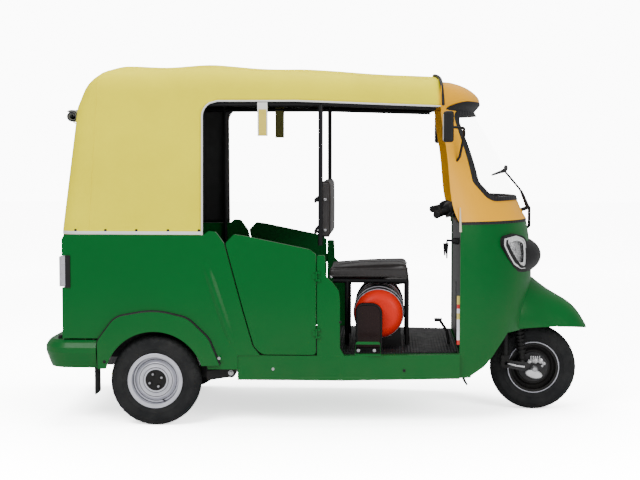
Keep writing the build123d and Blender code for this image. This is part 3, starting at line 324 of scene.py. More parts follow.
metal("steel", (0.58, 0.58, 0.6), rough=0.32, grime=0.15)
glass("clear_glass", (0.97, 0.98, 0.98), alpha=0.03)
glass("lamp_lens", (0.96, 0.97, 0.98), pitch=0.012, alpha=0.14)
glass("tail_lens", (0.55, 0.53, 0.6), rough=0.12, through=0.2, pitch=0.014)
glass("curtain_vinyl", (0.42, 0.43, 0.45), rough=0.3, through=0.3)
striped("reflector")

# looks of single pieces
vinyl("hood_lining", (0.009, 0.009, 0.0095), rough=0.5, grain=700.0)
vinyl("hood_binding", (0.80, 0.79, 0.74), rough=0.45, grain=900.0)
# painted shade: the darker olive of each strap's inside face stands for the shade it hangs in
canvas("web_painted_shade", (0.26, 0.25, 0.075), pitch=0.003)
# painted highlight: a pale cream strip stands for the light caught along each front post's rear edge
paint("cream_trim", (0.72, 0.66, 0.5), rough=0.4, coat=0.1, dust=0.1)
plastic("guard_panel", (0.014, 0.005, 0.005), rough=0.3, grain=160.0)
# painted shade: dark thin rings in a rear rim's pressed steps
plastic("rim_step_shade", (0.03, 0.03, 0.034), rough=0.6)
metal("link_dark", (0.028, 0.028, 0.03), rough=0.5, metallic=0.3, depth=0.001)
metal("lamp_chrome", (0.93, 0.94, 0.97), rough=0.22, metallic=0.45, grime=0.03)
metal("mirror_silver", (0.78, 0.8, 0.82), rough=0.05, metallic=1.0, grain=60.0, depth=0.0001, grime=0.03)
metal("cast_bright", (0.78, 0.78, 0.8), rough=0.3, grain=200.0, depth=0.0012, grime=0.35)


def dress_nodes():
    """Give each solid the look of its slot; the leading link is dark."""
    slot_of = {name: m["slot"] for m in frame["record"]["materials"] for name in m.get("nodes", [])}
    for name, obj in NODES.items():
        own = obj.material_slots[0].material.name.split(".")[0]
        look = "link_dark" if name == "front_link" else slot_of.get(name, own)
        for slot in obj.material_slots:
            slot.material = MATERIALS.get(look, MATERIALS["black_plastic"])


dress_nodes()


# ---------------------------------------------------------------- mesh tools


def turns(count):
    """The angles of one whole turn in equal steps."""
    return [math.tau * k / count for k in range(count)]


def around(centre, radius, angle):
    """Point at an angle round a centre, across the Y axis."""
    return (centre[0] + radius * math.cos(angle), centre[1], centre[2] + radius * math.sin(angle))


def circle(centre, radius, count):
    return [around(centre, radius, t) for t in turns(count)]


def cross_ring(middle, side, up, radius, count, squeeze=1.0):
    """Ring of points round a middle, spanned by two cross axes."""
    high = radius * squeeze
    return [middle + side * (radius * math.cos(t)) + up * (high * math.sin(t)) for t in turns(count)]


class Build:
    """Collects the faces of one piece; mark picks the material of the faces added."""

    def __init__(self):
        self.verts, self.faces, self.marks = [], [], []

    def grid(self, rows, mark=0, ring=False, loop=False):
        """Quads between rows of points; ring closes each row, loop joins the last row to the first."""
        base, count, total = len(self.verts), len(rows[0]), len(rows)
        for row in rows:
            self.verts += [tuple(p) for p in row]
        for i in range(total if loop else total - 1):
            for j in range(count if ring else count - 1):
                k, up = (j + 1) % count, (i + 1) % total
                quad = (i * count + j, i * count + k, up * count + k, up * count + j)
                self.faces.append(tuple(base + v for v in quad))
                self.marks.append(mark)

    def cap(self, ring, mark=0):
        base = len(self.verts)
        self.verts += [tuple(p) for p in ring]
        self.faces.append(tuple(range(base, base + len(ring))))
        self.marks.append(mark)

    def skin(self, rings, mark=0, loop=False):
        """Surface over closed rings, with both ends capped unless they form a loop."""
        self.grid(rings, mark, ring=True, loop=loop)
        if not loop:
            self.cap(rings[0][::-1], mark)
            self.cap(rings[-1], mark)

    def tube(self, points, radius, sides=10, mark=0, loop=False, squeeze=1.0):
        """Round bar along points; squeeze flattens it along its second cross axis."""
        points = [Vector(p) for p in points]
        count = len(points)
        rings, last = [], None
        for i, p in enumerate(points):
            ahead = points[(i + 1) % count] if loop else points[min(i + 1, count - 1)]
            back = points[i - 1] if loop else points[max(i - 1, 0)]
            along = (ahead - back).normalized()
            if last is None:
                last = along.orthogonal().normalized()
            last = (last - along * last.dot(along)).normalized()
            r = radius(i / (count - 1)) if callable(radius) else radius
            rings.append(cross_ring(p, last, along.cross(last), r, sides, squeeze))
        self.skin(rings, mark, loop)

    def lathe(self, centre, axis, rows, sides=24, mark=0, loop=False):
        """Turned form from rows (offset along the axis, radius)."""
        axis = Vector(axis).normalized()
        side = axis.orthogonal().normalized()
        up = axis.cross(side)
        rings = [cross_ring(Vector(centre) + axis * out, side, up, r, sides) for out, r in rows]
        self.skin(rings, mark, loop)

    def bolt(self, place, axis, radius):
        """Washer with a domed hexagon head."""
        self.lathe(place, axis, [(-0.001, radius * 1.5), (0.0015, radius * 1.5), (0.002, radius * 1.3)], 20)
        head = [(0.0015, radius), (0.0015 + radius * 0.7, radius), (0.0015 + radius * 0.95, radius * 0.7)]
        self.lathe(place, axis, head, 6)

    def object(self, name, sharp=38):
        """One clean mesh object; edges sharper than that many degrees stay sharp."""
        mesh = bpy.data.meshes.new(name)
        mesh.from_pydata(self.verts, [], self.faces)
        for face, mark in zip(mesh.polygons, self.marks):
            face.material_index = mark
            face.use_smooth = True
        work = bmesh.new()
        work.from_mesh(mesh)
        bmesh.ops.remove_doubles(work, verts=work.verts, dist=0.00004)
        bmesh.ops.dissolve_degenerate(work, edges=work.edges, dist=0.00002)
        bmesh.ops.recalc_face_normals(work, faces=work.faces)
        work.to_mesh(mesh)
        work.free()
        mesh.set_sharp_from_angle(angle=math.radians(sharp))
        return add(name, mesh)

    def piece(self, name, slot, looks=None, body="body", sharp=38, replaces=()):
        settle(self.object(name, sharp), body, slot, looks, replaces)


def settle(obj, body, slot, looks=None, replaces=()):
    """Give a piece its materials (the slot's own where no looks are named) and its body."""
    marks = [face.material_index for face in obj.data.polygons]
    obj.data.materials.clear()
    for look in looks or [slot]:
        obj.data.materials.append(MATERIALS[look])
    obj.data.polygons.foreach_set("material_index", marks)
    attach(obj, body)
    if replaces:
        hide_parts(*replaces)


def thicken(obj, thickness):
    shell = obj.modifiers.new("thickness", "SOLIDIFY")
    shell.thickness = thickness
    return shell


def rounded(rows, steps=7):
    """Points along straight runs with each corner rounded, from rows of a point and its radius."""
    points = [Vector(p) for p, _ in rows]
    out = [points[0]]
    for i in range(1, len(points) - 1):
        before, at, after = points[i - 1], points[i], points[i + 1]
        a, b = (before - at).normalized(), (after - at).normalized()
        reach = rows[i][1] / math.tan(max(a.angle(b), 0.01) / 2)
        reach = min(reach, (before - at).length * 0.49, (after - at).length * 0.49)
        start, end = at + a * reach, at + b * reach
        for k in range(steps + 1):
            t = k / steps
            out.append(start * (1 - t) ** 2 + at * (2 * t * (1 - t)) + end * t**2)
    out.append(points[-1])
    return out


def between(table, x):
    """Row of a table at x, in straight lines between its rows."""
    x = min(max(x, table[0][0]), table[-1][0])
    for low, high in zip(table, table[1:]):
        if x <= high[0]:
            share = (x - low[0]) / (high[0] - low[0])
            return [a + (b - a) * share for a, b in zip(low[1:], high[1:])]


def mirrored(points):
    return [Vector((p[0], -p[1], p[2])) for p in points]


def surface_of(node):
    """Search tree of a solid's surface."""
    verts = [node.matrix_world @ v.co for v in node.data.vertices]
    return BVHTree.FromPolygons(verts, [face.vertices[:] for face in node.data.polygons])


# ---------------------------------------------------------------- hood

HOOD = [  # x, half width at the bottom, lean of the side, eave z, crown z
    (-1.385, 0.604, 0.036, 1.862, 1.925),
    (-0.612, 0.612, 0.036, 1.874, 1.936),
    (0.002, 0.606, 0.032, 1.852, 1.908),
    (0.636, 0.508, 0.026, 1.838, 1.893),
]
HOOD_REAR = [(0.90, -1.371), (1.04, -1.370), (1.685, -1.289), (1.93, -1.188), (2.1, -1.11)]  # z, x
HOOD_LOW = 1.0145
VALANCE = 1.716
SIDE_FRONT = -0.612
OPENING_CORNER = 0.080
HOOD_FAN = -1.08  # station behind which the hood is laid out in a fan
EAVE_ROUND = 0.105
REAR_ROUND = 0.086
HOOPS = (-1.385, -1.09, -0.632, 0.008, 0.610)
ROOF_SAG = 0.011
SIDE_PULL = 0.009
WINDOW_HALF = 0.380
WINDOW_LOW, WINDOW_HIGH = 1.160, 1.560
ROOF_ROWS = 34
REAR_COLUMNS = 10
COLUMNS = [("rear", k / REAR_COLUMNS) for k in range(REAR_COLUMNS + 1)]  # part of the hood, share along it
for part, steps in (("corner", 18), ("side", 16), ("front", 40)):
    COLUMNS += [(part, k / steps) for k in range(1, steps + 1)]
WALL_COLUMNS = [column for column in COLUMNS if column[0] != "front"]
LEVELS = [HOOD_LOW]  # heights of the wall's rows
for top, steps in ((WINDOW_LOW, 6), (WINDOW_HIGH, 14), (1.636, 3), (VALANCE, 7)):
    foot = LEVELS[-1]
    LEVELS += [foot + (top - foot) * (k + 1) / steps for k in range(steps)]


def corner_max(a, b, radius):
    """The larger of two distances, rounded where both walls meet."""
    u, v = a + radius, b + radius
    if u > 0 and v > 0:
        return math.hypot(u, v) - radius
    return max(a, b)


def slack(x):
    """How far the canvas sinks between two hoops, 0 to 1; the front bay is tighter."""
    for low, high in zip(HOOPS, HOOPS[1:]):
        if low <= x <= high:
            return math.sin(math.pi * (x - low) / (high - low)) ** 2 * (0.4 if x > HOOPS[3] else 1.0)
    return 0.0


def dip(x):
    """How far the hood hangs lower towards the front."""
    return 0.026 * min(max((x + 0.12) / 0.74, 0.0), 1.0)


def hood_distance(x, y, z):
    """Distance outside (or, below zero, inside) the hood."""
    z += dip(x)
    half, lean, eave, crown = between(HOOD, x)
    rise = (z - HOOD_LOW) / (eave - HOOD_LOW)
    sag = slack(x)
    pull = SIDE_PULL * sag * max(0.0, math.sin(math.pi * min(max(rise, 0.0), 1.0)))
    side = abs(y) - (half - lean * rise - pull)
    across = min(abs(y) / (half - lean), 1.3)
    roof = z - (crown - ROOF_SAG * sag * (1 - across**2) - (crown - eave) * across**1.7)
    rear = between(HOOD_REAR, z)[0] - x
    return corner_max(corner_max(side, rear, REAR_ROUND), roof, EAVE_ROUND)


def reach_hood(origin, direction):
    """Point of the hood's outside from an inner point in a direction."""
    low, high = 0.0, 1.6
    for _ in range(22):
        t = (low + high) / 2
        if hood_distance(*(origin + direction * t)) < 0:
            low = t
        else:
            high = t
    return origin + direction * low


def even_points(points, count):
    """The same line divided into equal lengths."""
    lengths = [0.0]
    for a, b in zip(points, points[1:]):
        lengths.append(lengths[-1] + (b - a).length)
    out, k = [], 0
    for i in range(count + 1):
        want = lengths[-1] * i / count
        while k < len(points) - 2 and lengths[k + 1] < want:
            k += 1
        step = lengths[k + 1] - lengths[k]
        out.append(points[k].lerp(points[k + 1], (want - lengths[k]) / step if step else 0))
    return out


def opening_x(z):
    """Front edge of the side panel, rounded where it turns into the valance."""
    rise = z - (VALANCE - OPENING_CORNER)
    if rise <= 0:
        return SIDE_FRONT
    return SIDE_FRONT + OPENING_CORNER - math.sqrt(max(OPENING_CORNER**2 - rise**2, 0))


def front_x(z):
    """Front edge of the hood, leaning back."""
    return 0.645 - 0.034 * (z - VALANCE) / 0.17


def hood_column(kind, t, z):
    """Origin and level direction of a column of the hood at a height, for the vehicle's right half."""
    origin = Vector((HOOD_FAN, 0, z))
    rear_x = between(HOOD_REAR, z)[0]
    if kind == "rear":
        return origin, Vector((rear_x - HOOD_FAN, -WINDOW_HALF * t, 0)).normalized()
    if kind == "corner":
        start = math.atan2(WINDOW_HALF, HOOD_FAN - rear_x)
        turn = start + (math.pi / 2 - start) * t
        return origin, Vector((-math.cos(turn), -math.sin(turn), 0))
    low, high = (HOOD_FAN, opening_x(z)) if kind == "side" else (opening_x(VALANCE), front_x(z))
    x = low + (high - low) * t
    return Vector((x, 0, z - dip(x))), Vector((0, -1, 0))


def hood_point(column, z):
    return reach_hood(*hood_column(*column, z))


def roof_column(kind, t):
    """Points from the valance line up to the middle of the roof."""
    origin, direction = hood_column(kind, t, VALANCE)
    points = []
    for k in range(71):
        rise = math.pi / 2 * k / 70
        way = direction * math.cos(rise) + Vector((0, 0, math.sin(rise)))
        base = origin.copy()
        if kind == "front":
            guess = VALANCE + 0.17 * math.sin(rise)
            base.x = opening_x(VALANCE) + (front_x(guess) - opening_x(VALANCE)) * t
            base.z = VALANCE - dip(base.x)
        points.append(reach_hood(base, way))
    return even_points(points, ROOF_ROWS)


hood_walls = [[hood_point(column, z) for column in WALL_COLUMNS] for z in LEVELS]
hood_roof = list(zip(*[roof_column(*column) for column in COLUMNS]))


def make_hood():
    """Stretched canvas with a dark lining and pale cut edges, open at the doors and the rear window."""
    cover = Build()
    for turn in (list, mirrored):
        for i, (low, high) in enumerate(zip(LEVELS, LEVELS[1:])):
            beside_window = WINDOW_LOW - 0.001 < low and high < WINDOW_HIGH + 0.001
            start = REAR_COLUMNS if beside_window else 0
            cover.grid([turn(hood_walls[i][start:]), turn(hood_walls[i + 1][start:])])
        cover.grid([turn(row) for row in hood_roof])
    hood = cover.object("hood_cover", 60)
    work = bmesh.new()
    work.from_mesh(hood.data)
    area = sum(f.calc_area() for f in work.faces)
    top = max(work.faces, key=lambda f: f.calc_center_median().z)
    if top.normal.z < 0:
        bmesh.ops.reverse_faces(work, faces=work.faces)
    work.to_mesh(hood.data)
    work.free()
    shell = thicken(hood, 0.004)
    shell.offset = -1
    shell.material_offset = 1
    shell.material_offset_rim = 2
    looks = ["canvas_yellow", "hood_lining", "hood_binding"]
    settle(hood, "body", "canvas_yellow", looks, ["hood_canopy"])


def proud(points, distance):
    """Points moved outwards, away from the vehicle's middle line."""
    return [p + Vector((0, math.copysign(distance, p.y), 0)) for p in points]


def make_binding():
    """Bound edge round each door opening and the band along the bottom."""
    edge = [hood_point(("side", 1.0), z) for z in LEVELS]
    sill = [p for p in hood_roof[0] if p.x > opening_x(VALANCE) - 0.001]
    band_low, band_high = ([hood_point(c, HOOD_LOW + rise) for c in WALL_COLUMNS] for rise in (0.002, 0.019))
    binding = Build()
    for turn in (list, mirrored):
        binding.tube(proud(turn(edge + sill), 0.001), 0.0052, 8, squeeze=0.8)
    for turn in (list, mirrored):
        rows = [proud(turn(band_low), 0.0005), proud(turn(band_low), 0.003)]
        rows += [proud(turn(band_high), 0.003), proud(turn(band_high), 0.0005)]
        binding.grid(rows, loop=True)
    binding.piece("hood_binding", "canvas_yellow", ["hood_binding"])


def make_front_seal():
    """Lip round the hood's front edge, and a flap from there to the visor."""
    front_edge = [row[-1] for row in hood_roof]
    lip = [p + Vector((0.005, 0, 0)) + Vector((0, p.y, p.z - 1.3)).normalized() * 0.007 for p in front_edge]
    seal = Build()
    seal.tube(lip + mirrored(lip[::-1])[1:], 0.0085, 8)
    cowl = surface_of(NODES["upper_cowl"])
    rim = front_edge + mirrored(front_edge[::-1])[1:]
    landing = [cowl.find_nearest(p)[0] for p in rim]
    reach = [min(1.0, 0.09 / max((b - a).length, 0.001)) for a, b in zip(rim, landing)]
    seal.grid([[a.lerp(b, t * r) for a, b, r in zip(rim, landing, reach)] for t in (0.0, 0.5, 1.0)])
    seal.piece("hood_front_seal", "rubber_black", ["black_plastic"])


def make_seams():
    """Sewn seams: one up each rear corner, one along each side of the roof."""
    corner, ridge_row, roof_part = 22, 13, 16
    up = [row[corner] for row in hood_walls] + [row[corner] for row in hood_roof[1:16]]
    ridge = hood_roof[ridge_row][len(WALL_COLUMNS) - roof_part :]
    seams = Build()
    for turn in (list, mirrored):
        seams.tube(turn(up), 0.0022, 6)
        seams.tube(turn(ridge), 0.0022, 6)
    seams.piece("hood_seams", "canvas_yellow")


def make_window_binding():
    corners = [(-WINDOW_HALF, WINDOW_LOW), (-WINDOW_HALF, WINDOW_HIGH)]
    corners += [(WINDOW_HALF, WINDOW_HIGH), (WINDOW_HALF, WINDOW_LOW)]
    path = []
    for (y0, z0), (y1, z1) in zip(corners, corners[1:] + corners[:1]):
        for k in range(12):
            z = z0 + (z1 - z0) * k / 12
            path.append((between(HOOD_REAR, z)[0] - 0.002, y0 + (y1 - y0) * k / 12, z))
    rim = Build()
    rim.tube(path, 0.008, 8, loop=True, squeeze=0.6)
    rim.piece("rear_window_binding", "canvas_yellow", ["hood_binding"])


def make_snaps():
    """Press studs along the bottom band."""
    rows = [(-0.001, 0.007), (0.002, 0.007), (0.004, 0.0045), (0.0045, 0.001)]
    snaps = Build()
    for x in (-1.29, -1.125, -0.96, -0.792, -0.628):
        stud = hood_point(("side", (x - HOOD_FAN) / (SIDE_FRONT - HOOD_FAN)), HOOD_LOW + 0.024)
        if x < HOOD_FAN:
            stud = min(hood_walls[1], key=lambda p: abs(p.x - x) + (0 if p.y < -0.4 else 1))
        for side, _ in SIDES:
            snaps.lathe((stud.x, side * abs(stud.y), HOOD_LOW + 0.024), (0, side, 0), rows, 16)
    snaps.piece("hood_snaps", "steel", ["black_paint"])


make_hood()
make_binding()
make_front_seal()
make_seams()
make_window_binding()
make_snaps()


# ---------------------------------------------------------------- cushions

SEAT, BACK = 2, 0  # a pad's thin axis: Z for seats, X for backrests
PADS = [  # name, node, thin axis, low and high corner, form, levels of its piping, piping radius
    (
        "driver_seat_pad", "driver_seat", SEAT, (0.033, -0.232, 0.7525), (0.476, 0.232, 0.815),
        {"lip": 0.034, "tilt": 0.020}, (0.806, 0.766), 0.0035,
    ),
    (
        "driver_backrest_pad", "driver_backrest", BACK, (0.0, -0.298, 0.980), (0.044, 0.298, 1.294),
        {"edge": 0.011, "crown": 0.008, "waist": 0.004, "voxel": 0.008, "cap": 0.004}, (0.006, 0.036), 0.003,
    ),
    (
        "passenger_seat_pad", "passenger_seat", SEAT, (-0.998, -0.388, 0.7005), (-0.562, 0.388, 0.79),
        {"edge": 0.026, "crown": 0.016, "waist": 0.008, "voxel": 0.012, "cap": 0.008}, (0.779, 0.715), 0.004,
    ),
    (
        "passenger_back_pad", "passenger_backrest", BACK, (-1.088, -0.388, 0.702), (-1.008, 0.388, 1.316),
        {"edge": 0.024, "crown": 0.012, "waist": 0.008, "voxel": 0.012, "cap": 0.007},
        (-1.018, -1.078), 0.004,
    ),
]
CHANNELS = {  # half distance between two channels, start, length, steps, laid from, laid towards, radius
    "driver_seat_pad": (0.08, 0.06, 0.39, 16, 0.9, 0.7, 0.002),
    "passenger_seat_pad": (0.13, -0.97, 0.38, 16, 0.9, 0.7, 0.0025),
    "passenger_back_pad": (0.13, 0.74, 0.54, 20, -0.9, -1.05, 0.0025),
}


def cushion_mesh(low, high, edge, crown, waist, lip):
    """Crowned pad: rounded edges, sides that pull in between corners, flat underside, lip at the front."""
    size = [(b - a) / 2 for a, b in zip(low, high)]
    middle = [(a + b) / 2 for a, b in zip(low, high)]
    thin = min(range(3), key=lambda i: size[i])
    i, j = [k for k in range(3) if k != thin]
    back = 0.1 if thin == SEAT else -0.1
    work = bmesh.new()
    bmesh.ops.create_cube(work, size=2.0)
    bmesh.ops.subdivide_edges(work, edges=work.edges, cuts=21, use_grid_fill=True)
    for v in work.verts:
        p = [v.co[k] * size[k] for k in range(3)]
        core = [max(-size[k] + edge, min(size[k] - edge, p[k])) for k in range(3)]
        away = Vector([p[k] - core[k] for k in range(3)])
        if away.length > 0:
            away = away.normalized() * edge
        p = [core[k] + away[k] for k in range(3)]
        s = [p[k] / size[k] for k in range(3)]
        bulge = (1 - s[i] * s[i]) * (1 - s[j] * s[j])
        p[thin] += crown * bulge * (1 if s[thin] > 0 else back) * abs(s[thin])
        for k, other in ((i, j), (j, i)):
            p[k] -= math.copysign(waist * (1 - s[other] * s[other]) * abs(s[k]) ** 6, s[k])
        if lip and s[0] > 0.78 and s[2] < 0.2:
            p[2] -= lip * min(1.0, (s[0] - 0.78) / 0.1) * min(1.0, (0.2 - s[2]) / 0.6)
        v.co = [p[k] + middle[k] for k in range(3)]
    mesh = bpy.data.meshes.new("pad")
    work.to_mesh(mesh)
    work.free()
    return mesh


def swell(obj, voxel, cap):
    """Blow the pad up as cloth under pressure, and keep each point within cap of its start."""
    bpy.context.view_layer.objects.active = obj
    obj.select_set(True)
    remesh = obj.modifiers.new("remesh", "REMESH")
    remesh.mode = "VOXEL"
    remesh.voxel_size = voxel
    bpy.ops.object.modifier_apply(modifier=remesh.name)
    start = [v.co.copy() for v in obj.data.vertices]
    cloth = obj.modifiers.new("cloth", "CLOTH")
    cloth.settings.quality = 4
    cloth.settings.mass = 0.4
    cloth.settings.use_pressure = True
    cloth.settings.uniform_pressure_force = 4.0
    cloth.settings.effector_weights.gravity = 0
    cloth.settings.tension_stiffness = 12
    cloth.settings.bending_stiffness = 0.6
    scene = bpy.context.scene
    for number in range(1, 15):
        scene.frame_set(number)
    swollen = obj.evaluated_get(bpy.context.evaluated_depsgraph_get())
    ends = [v.co.copy() for v in swollen.data.vertices]
    obj.modifiers.remove(cloth)
    scene.frame_set(1)
    for v, a, b in zip(obj.data.vertices, start, ends):
        move = b - a
        if move.length > cap:
            move = move.normalized() * cap
        v.co = a + move
    obj.select_set(False)


def make_pad(
    name, node, low, high, edge=0.02, crown=0.012, waist=0.006, lip=0.0, voxel=0.009, cap=0.006, tilt=0.0
):
    """Cushion that replaces a node. Returns the search tree of its surface."""
    pad = add(name, cushion_mesh(low, high, edge, crown, waist, lip))
    swell(pad, voxel, cap)
    work = bmesh.new()
    work.from_mesh(pad.data)
    for vert in work.verts:
        along = (vert.co.x - low[0]) / (high[0] - low[0])
        vert.co.z += tilt * (along - 0.4) * (vert.co.z - low[2]) / (high[2] - low[2])
    bmesh.ops.recalc_face_normals(work, faces=work.faces)
    work.to_mesh(pad.data)
    tree = BVHTree.FromBMesh(work)
    work.free()
    for face in pad.data.polygons:
        face.use_smooth = True
    soft = pad.modifiers.new("smooth", "SUBSURF")
    soft.levels = soft.render_levels = 1
    settle(pad, "body", "black_vinyl", replaces=[node])
    return tree


def lay(build, tree, path, towards, radius, loop):
    """Piping on a pad: each path point drops onto the surface towards a point, None keeping its own value."""
    out = []
    for p in path:
        p = Vector(p)
        aim = Vector([have if want is None else want for want, have in zip(towards, p)])
        way = (aim - p).normalized()
        hit = tree.ray_cast(p, way)[0]
        if hit:
            out.append(hit - way * radius * 0.3)
    build.tube(out, radius, 8, loop=loop)


def loop_round(low, high, level, axis):
    """Loop round a box at one level of an axis, a little outside it."""
    grow, steps = 0.04, 22
    i, j = [k for k in range(3) if k != axis]
    corners = [(low[i] - grow, low[j] - grow), (high[i] + grow, low[j] - grow)]
    corners += [(high[i] + grow, high[j] + grow), (low[i] - grow, high[j] + grow)]
    path = []
    for (a0, b0), (a1, b1) in zip(corners, corners[1:] + corners[:1]):
        for k in range(steps):
            p = [0, 0, 0]
            p[axis] = level
            p[i], p[j] = a0 + (a1 - a0) * k / steps, b0 + (b1 - b0) * k / steps
            path.append(p)
    return path


def make_cushions():
    welts = Build()
    for name, node, axis, low, high, form, levels, piping in PADS:
        tree = make_pad(name, node, low, high, **form)
        centre = [(a + b) / 2 for a, b in zip(low, high)]
        centre[axis] = None
        for level in levels:
            lay(welts, tree, loop_round(low, high, level, axis), centre, piping, True)
        if name in CHANNELS:
            offset, start, length, steps, lift, target, radius = CHANNELS[name]
            towards = [None, None, None]
            towards[axis] = target
            for y in (-offset, offset):
                path = [[lift, y, lift] for _ in range(steps + 1)]
                for k, p in enumerate(path):
                    p[2 - axis] = start + length * k / steps
                lay(welts, tree, path, towards, radius, False)
    welts.piece("cushion_welts", "black_vinyl")


make_cushions()


# ---------------------------------------------------------------- wheels

REAR_AXLE = (-0.867, 0.555, 0.24)
FRONT_AXLE = (1.181, 0.0, 0.24)
TYRE_SIDE = [  # half profile: out from the middle plane, radius
    (0.0497, 0.1305), (0.0503, 0.137), (0.0500, 0.1465), (0.0520, 0.152), (0.0560, 0.163),
    (0.0572, 0.1685), (0.0584, 0.1700), (0.0584, 0.1725), (0.0574, 0.1740), (0.0581, 0.184),
    (0.0579, 0.196), (0.0570, 0.2050), (0.0580, 0.2062), (0.0572, 0.2090), (0.0560, 0.2105),
    (0.0545, 0.2160), (0.0520, 0.2225), (0.0480, 0.2285), (0.0430, 0.2330), (0.0375, 0.2358),
]
GROOVES = ((0.030, 0.0024), (0.010, 0.0022))  # distance from the middle plane, half width
GROOVE_DEPTH = 0.006
TREAD_RADIUS = 0.2398
TREAD_PITCHES = 40
PITCH_STEPS = 6
ZIGZAG = 0.0032
NOTCH = 0.005
# the thinnest rings (under 2 mm) are dark: painted shade in the pressed steps
RIM_LINES = [  # radius, thickness of the pressed steps on a rear rim
    (0.1235, 0.0018), (0.1165, 0.0032), (0.1105, 0.0017), (0.0945, 0.0028),
    (0.0885, 0.0017), (0.0735, 0.0024), (0.0665, 0.0017),
]


def tread_rows():
    """Columns of one turn of tread: out, radius, share of the zigzag, notch depth."""
    rows = [(y, r, 0.0, NOTCH if 0.215 < r < 0.2345 else 0.0) for y, r in TYRE_SIDE]
    for y, half in GROOVES:
        edges = ((half + 0.001, 0), (half, GROOVE_DEPTH), (-half, GROOVE_DEPTH), (-half - 0.001, 0))
        for edge, drop in edges:
            rows.append((y + edge, TREAD_RADIUS - 0.9 * (y + edge) ** 2 / 0.48 - drop, 1.0, 0.0))
    return rows + [(-y, r, zig, notch) for y, r, zig, notch in rows[::-1]]


def make_tyre(name, centre, body, node):
    """Tyre with ribbed sides, zigzag grooves and notched shoulders."""
    columns = tread_rows()
    rings = []
    for k, turn in enumerate(turns(TREAD_PITCHES * PITCH_STEPS)):
        step = k % PITCH_STEPS
        swing = ZIGZAG * (1 - 4 * abs(step / PITCH_STEPS - 0.5))
        row = []
        for y, r, zig, notch in columns:
            middle = (centre[0], centre[1] + y + zig * swing, centre[2])
            row.append(around(middle, r - (notch if step in (0, 1) else 0.0), turn))
        rings.append(row)
    tyre = Build()
    tyre.grid(rings, ring=True, loop=True)
    tyre.piece(name, "tyre_black", body=body, sharp=32, replaces=[node])


def make_rear_wheel(side, name):
    """Tyre, wheel nuts, rivets with the rim's bead, and the valve."""
    x, y, z = REAR_AXLE
    body = "rear_wheel_" + name
    out = (0, side, 0)
    make_tyre("tyre_rear_" + name, (x, side * y, z), body, "rear_tyre_" + name)
    nuts, rivets, valve = Build(), Build(), Build()
    for k in range(4):
        place = around((x, side * (y + 0.039), z), 0.035, math.radians(25 + 90 * k))
        nuts.lathe(place, out, [(0.0, 0.0072), (0.003, 0.0072), (0.0055, 0.004)], 6)
        place = around((x, side * (y + 0.028), z), 0.078, math.radians(70 + 90 * k))
        rivets.lathe(place, out, [(-0.001, 0.006), (0.001, 0.006), (0.002, 0.003)], 14)
    nuts.piece("hub_nuts_" + name, "cast_alloy", body=body)
    rivets.tube(circle((x, side * (y + 0.053), z), 0.1435, 96), 0.0028, 8, loop=True)
    rivets.piece("rim_rivets_" + name, "rim_silver", body=body)
    turn = math.radians(-68)
    root = Vector(around((x, side * (y + 0.018), z), 0.121, turn))
    tip = root + Vector((-0.012 * math.cos(turn), side * 0.030, -0.012 * math.sin(turn)))
    valve.tube([root, root.lerp(tip, 0.5), tip], 0.0042, 10)
    valve.piece("valve_" + name, "rubber_black", ["black_plastic"], body)


def make_rim_steps(side, name):
    """Pressed steps of a steel rim, laid on the rim's face wherever it stands; the thinnest rings are dark,
    painted shade in the steps.
    """
    middle = Vector((REAR_AXLE[0], 0, REAR_AXLE[2]))
    rims = [surface_of(node) for title, node in NODES.items() if "rim" in title]
    steps = Build()
    for radius, thick in RIM_LINES:
        start = middle + Vector((radius * 0.8, side * 0.72, radius * 0.6))
        hits = [rim.ray_cast(start, Vector((0, -side, 0)), 0.3)[0] for rim in rims]
        face = max((hit.y for hit in hits if hit is not None), key=abs)
        ring = circle((middle.x, face, middle.z), radius, 64)
        # thin rings take the dark look: painted shade
        steps.tube(ring, thick, 8, 1 if thick < 0.002 else 0, loop=True)
    steps.piece("rim_steps_" + name, "rim_silver", ["rim_silver", "rim_step_shade"], "rear_wheel_" + name)


def make_front_wheel():
    """Tyre with rings on both sides of the rim, and the axle nut with its studs."""
    x, y, z = FRONT_AXLE
    make_tyre("tyre_front", FRONT_AXLE, "front_wheel", "front_tyre")
    trim, link = Build(), Build()
    for side, _ in SIDES:
        trim.tube(circle((x, side * 0.0535, z), 0.1425, 120), 0.0036, 8, loop=True, squeeze=0.7)
    trim.piece("front_rim_ring", "rim_silver", body="front_wheel")
    link.lathe((x, -0.117, z), (0, -1, 0), [(0, 0.021), (0.004, 0.021), (0.012, 0.014), (0.014, 0.012)], 6)
    for k in range(5):
        place = around((x, -0.106, z), 0.046, math.radians(20 + 72 * k))
        if place[0] > x - 0.03:
            link.lathe(place, (0, -1, 0), [(-0.02, 0.007), (0.004, 0.007), (0.006, 0.004)], 6)
    link.piece("axle_nut", "cast_alloy", body="steering")


for side, name in SIDES:
    make_rear_wheel(side, name)
    make_rim_steps(side, name)
make_front_wheel()


# ---------------------------------------------------------------- curtain and straps


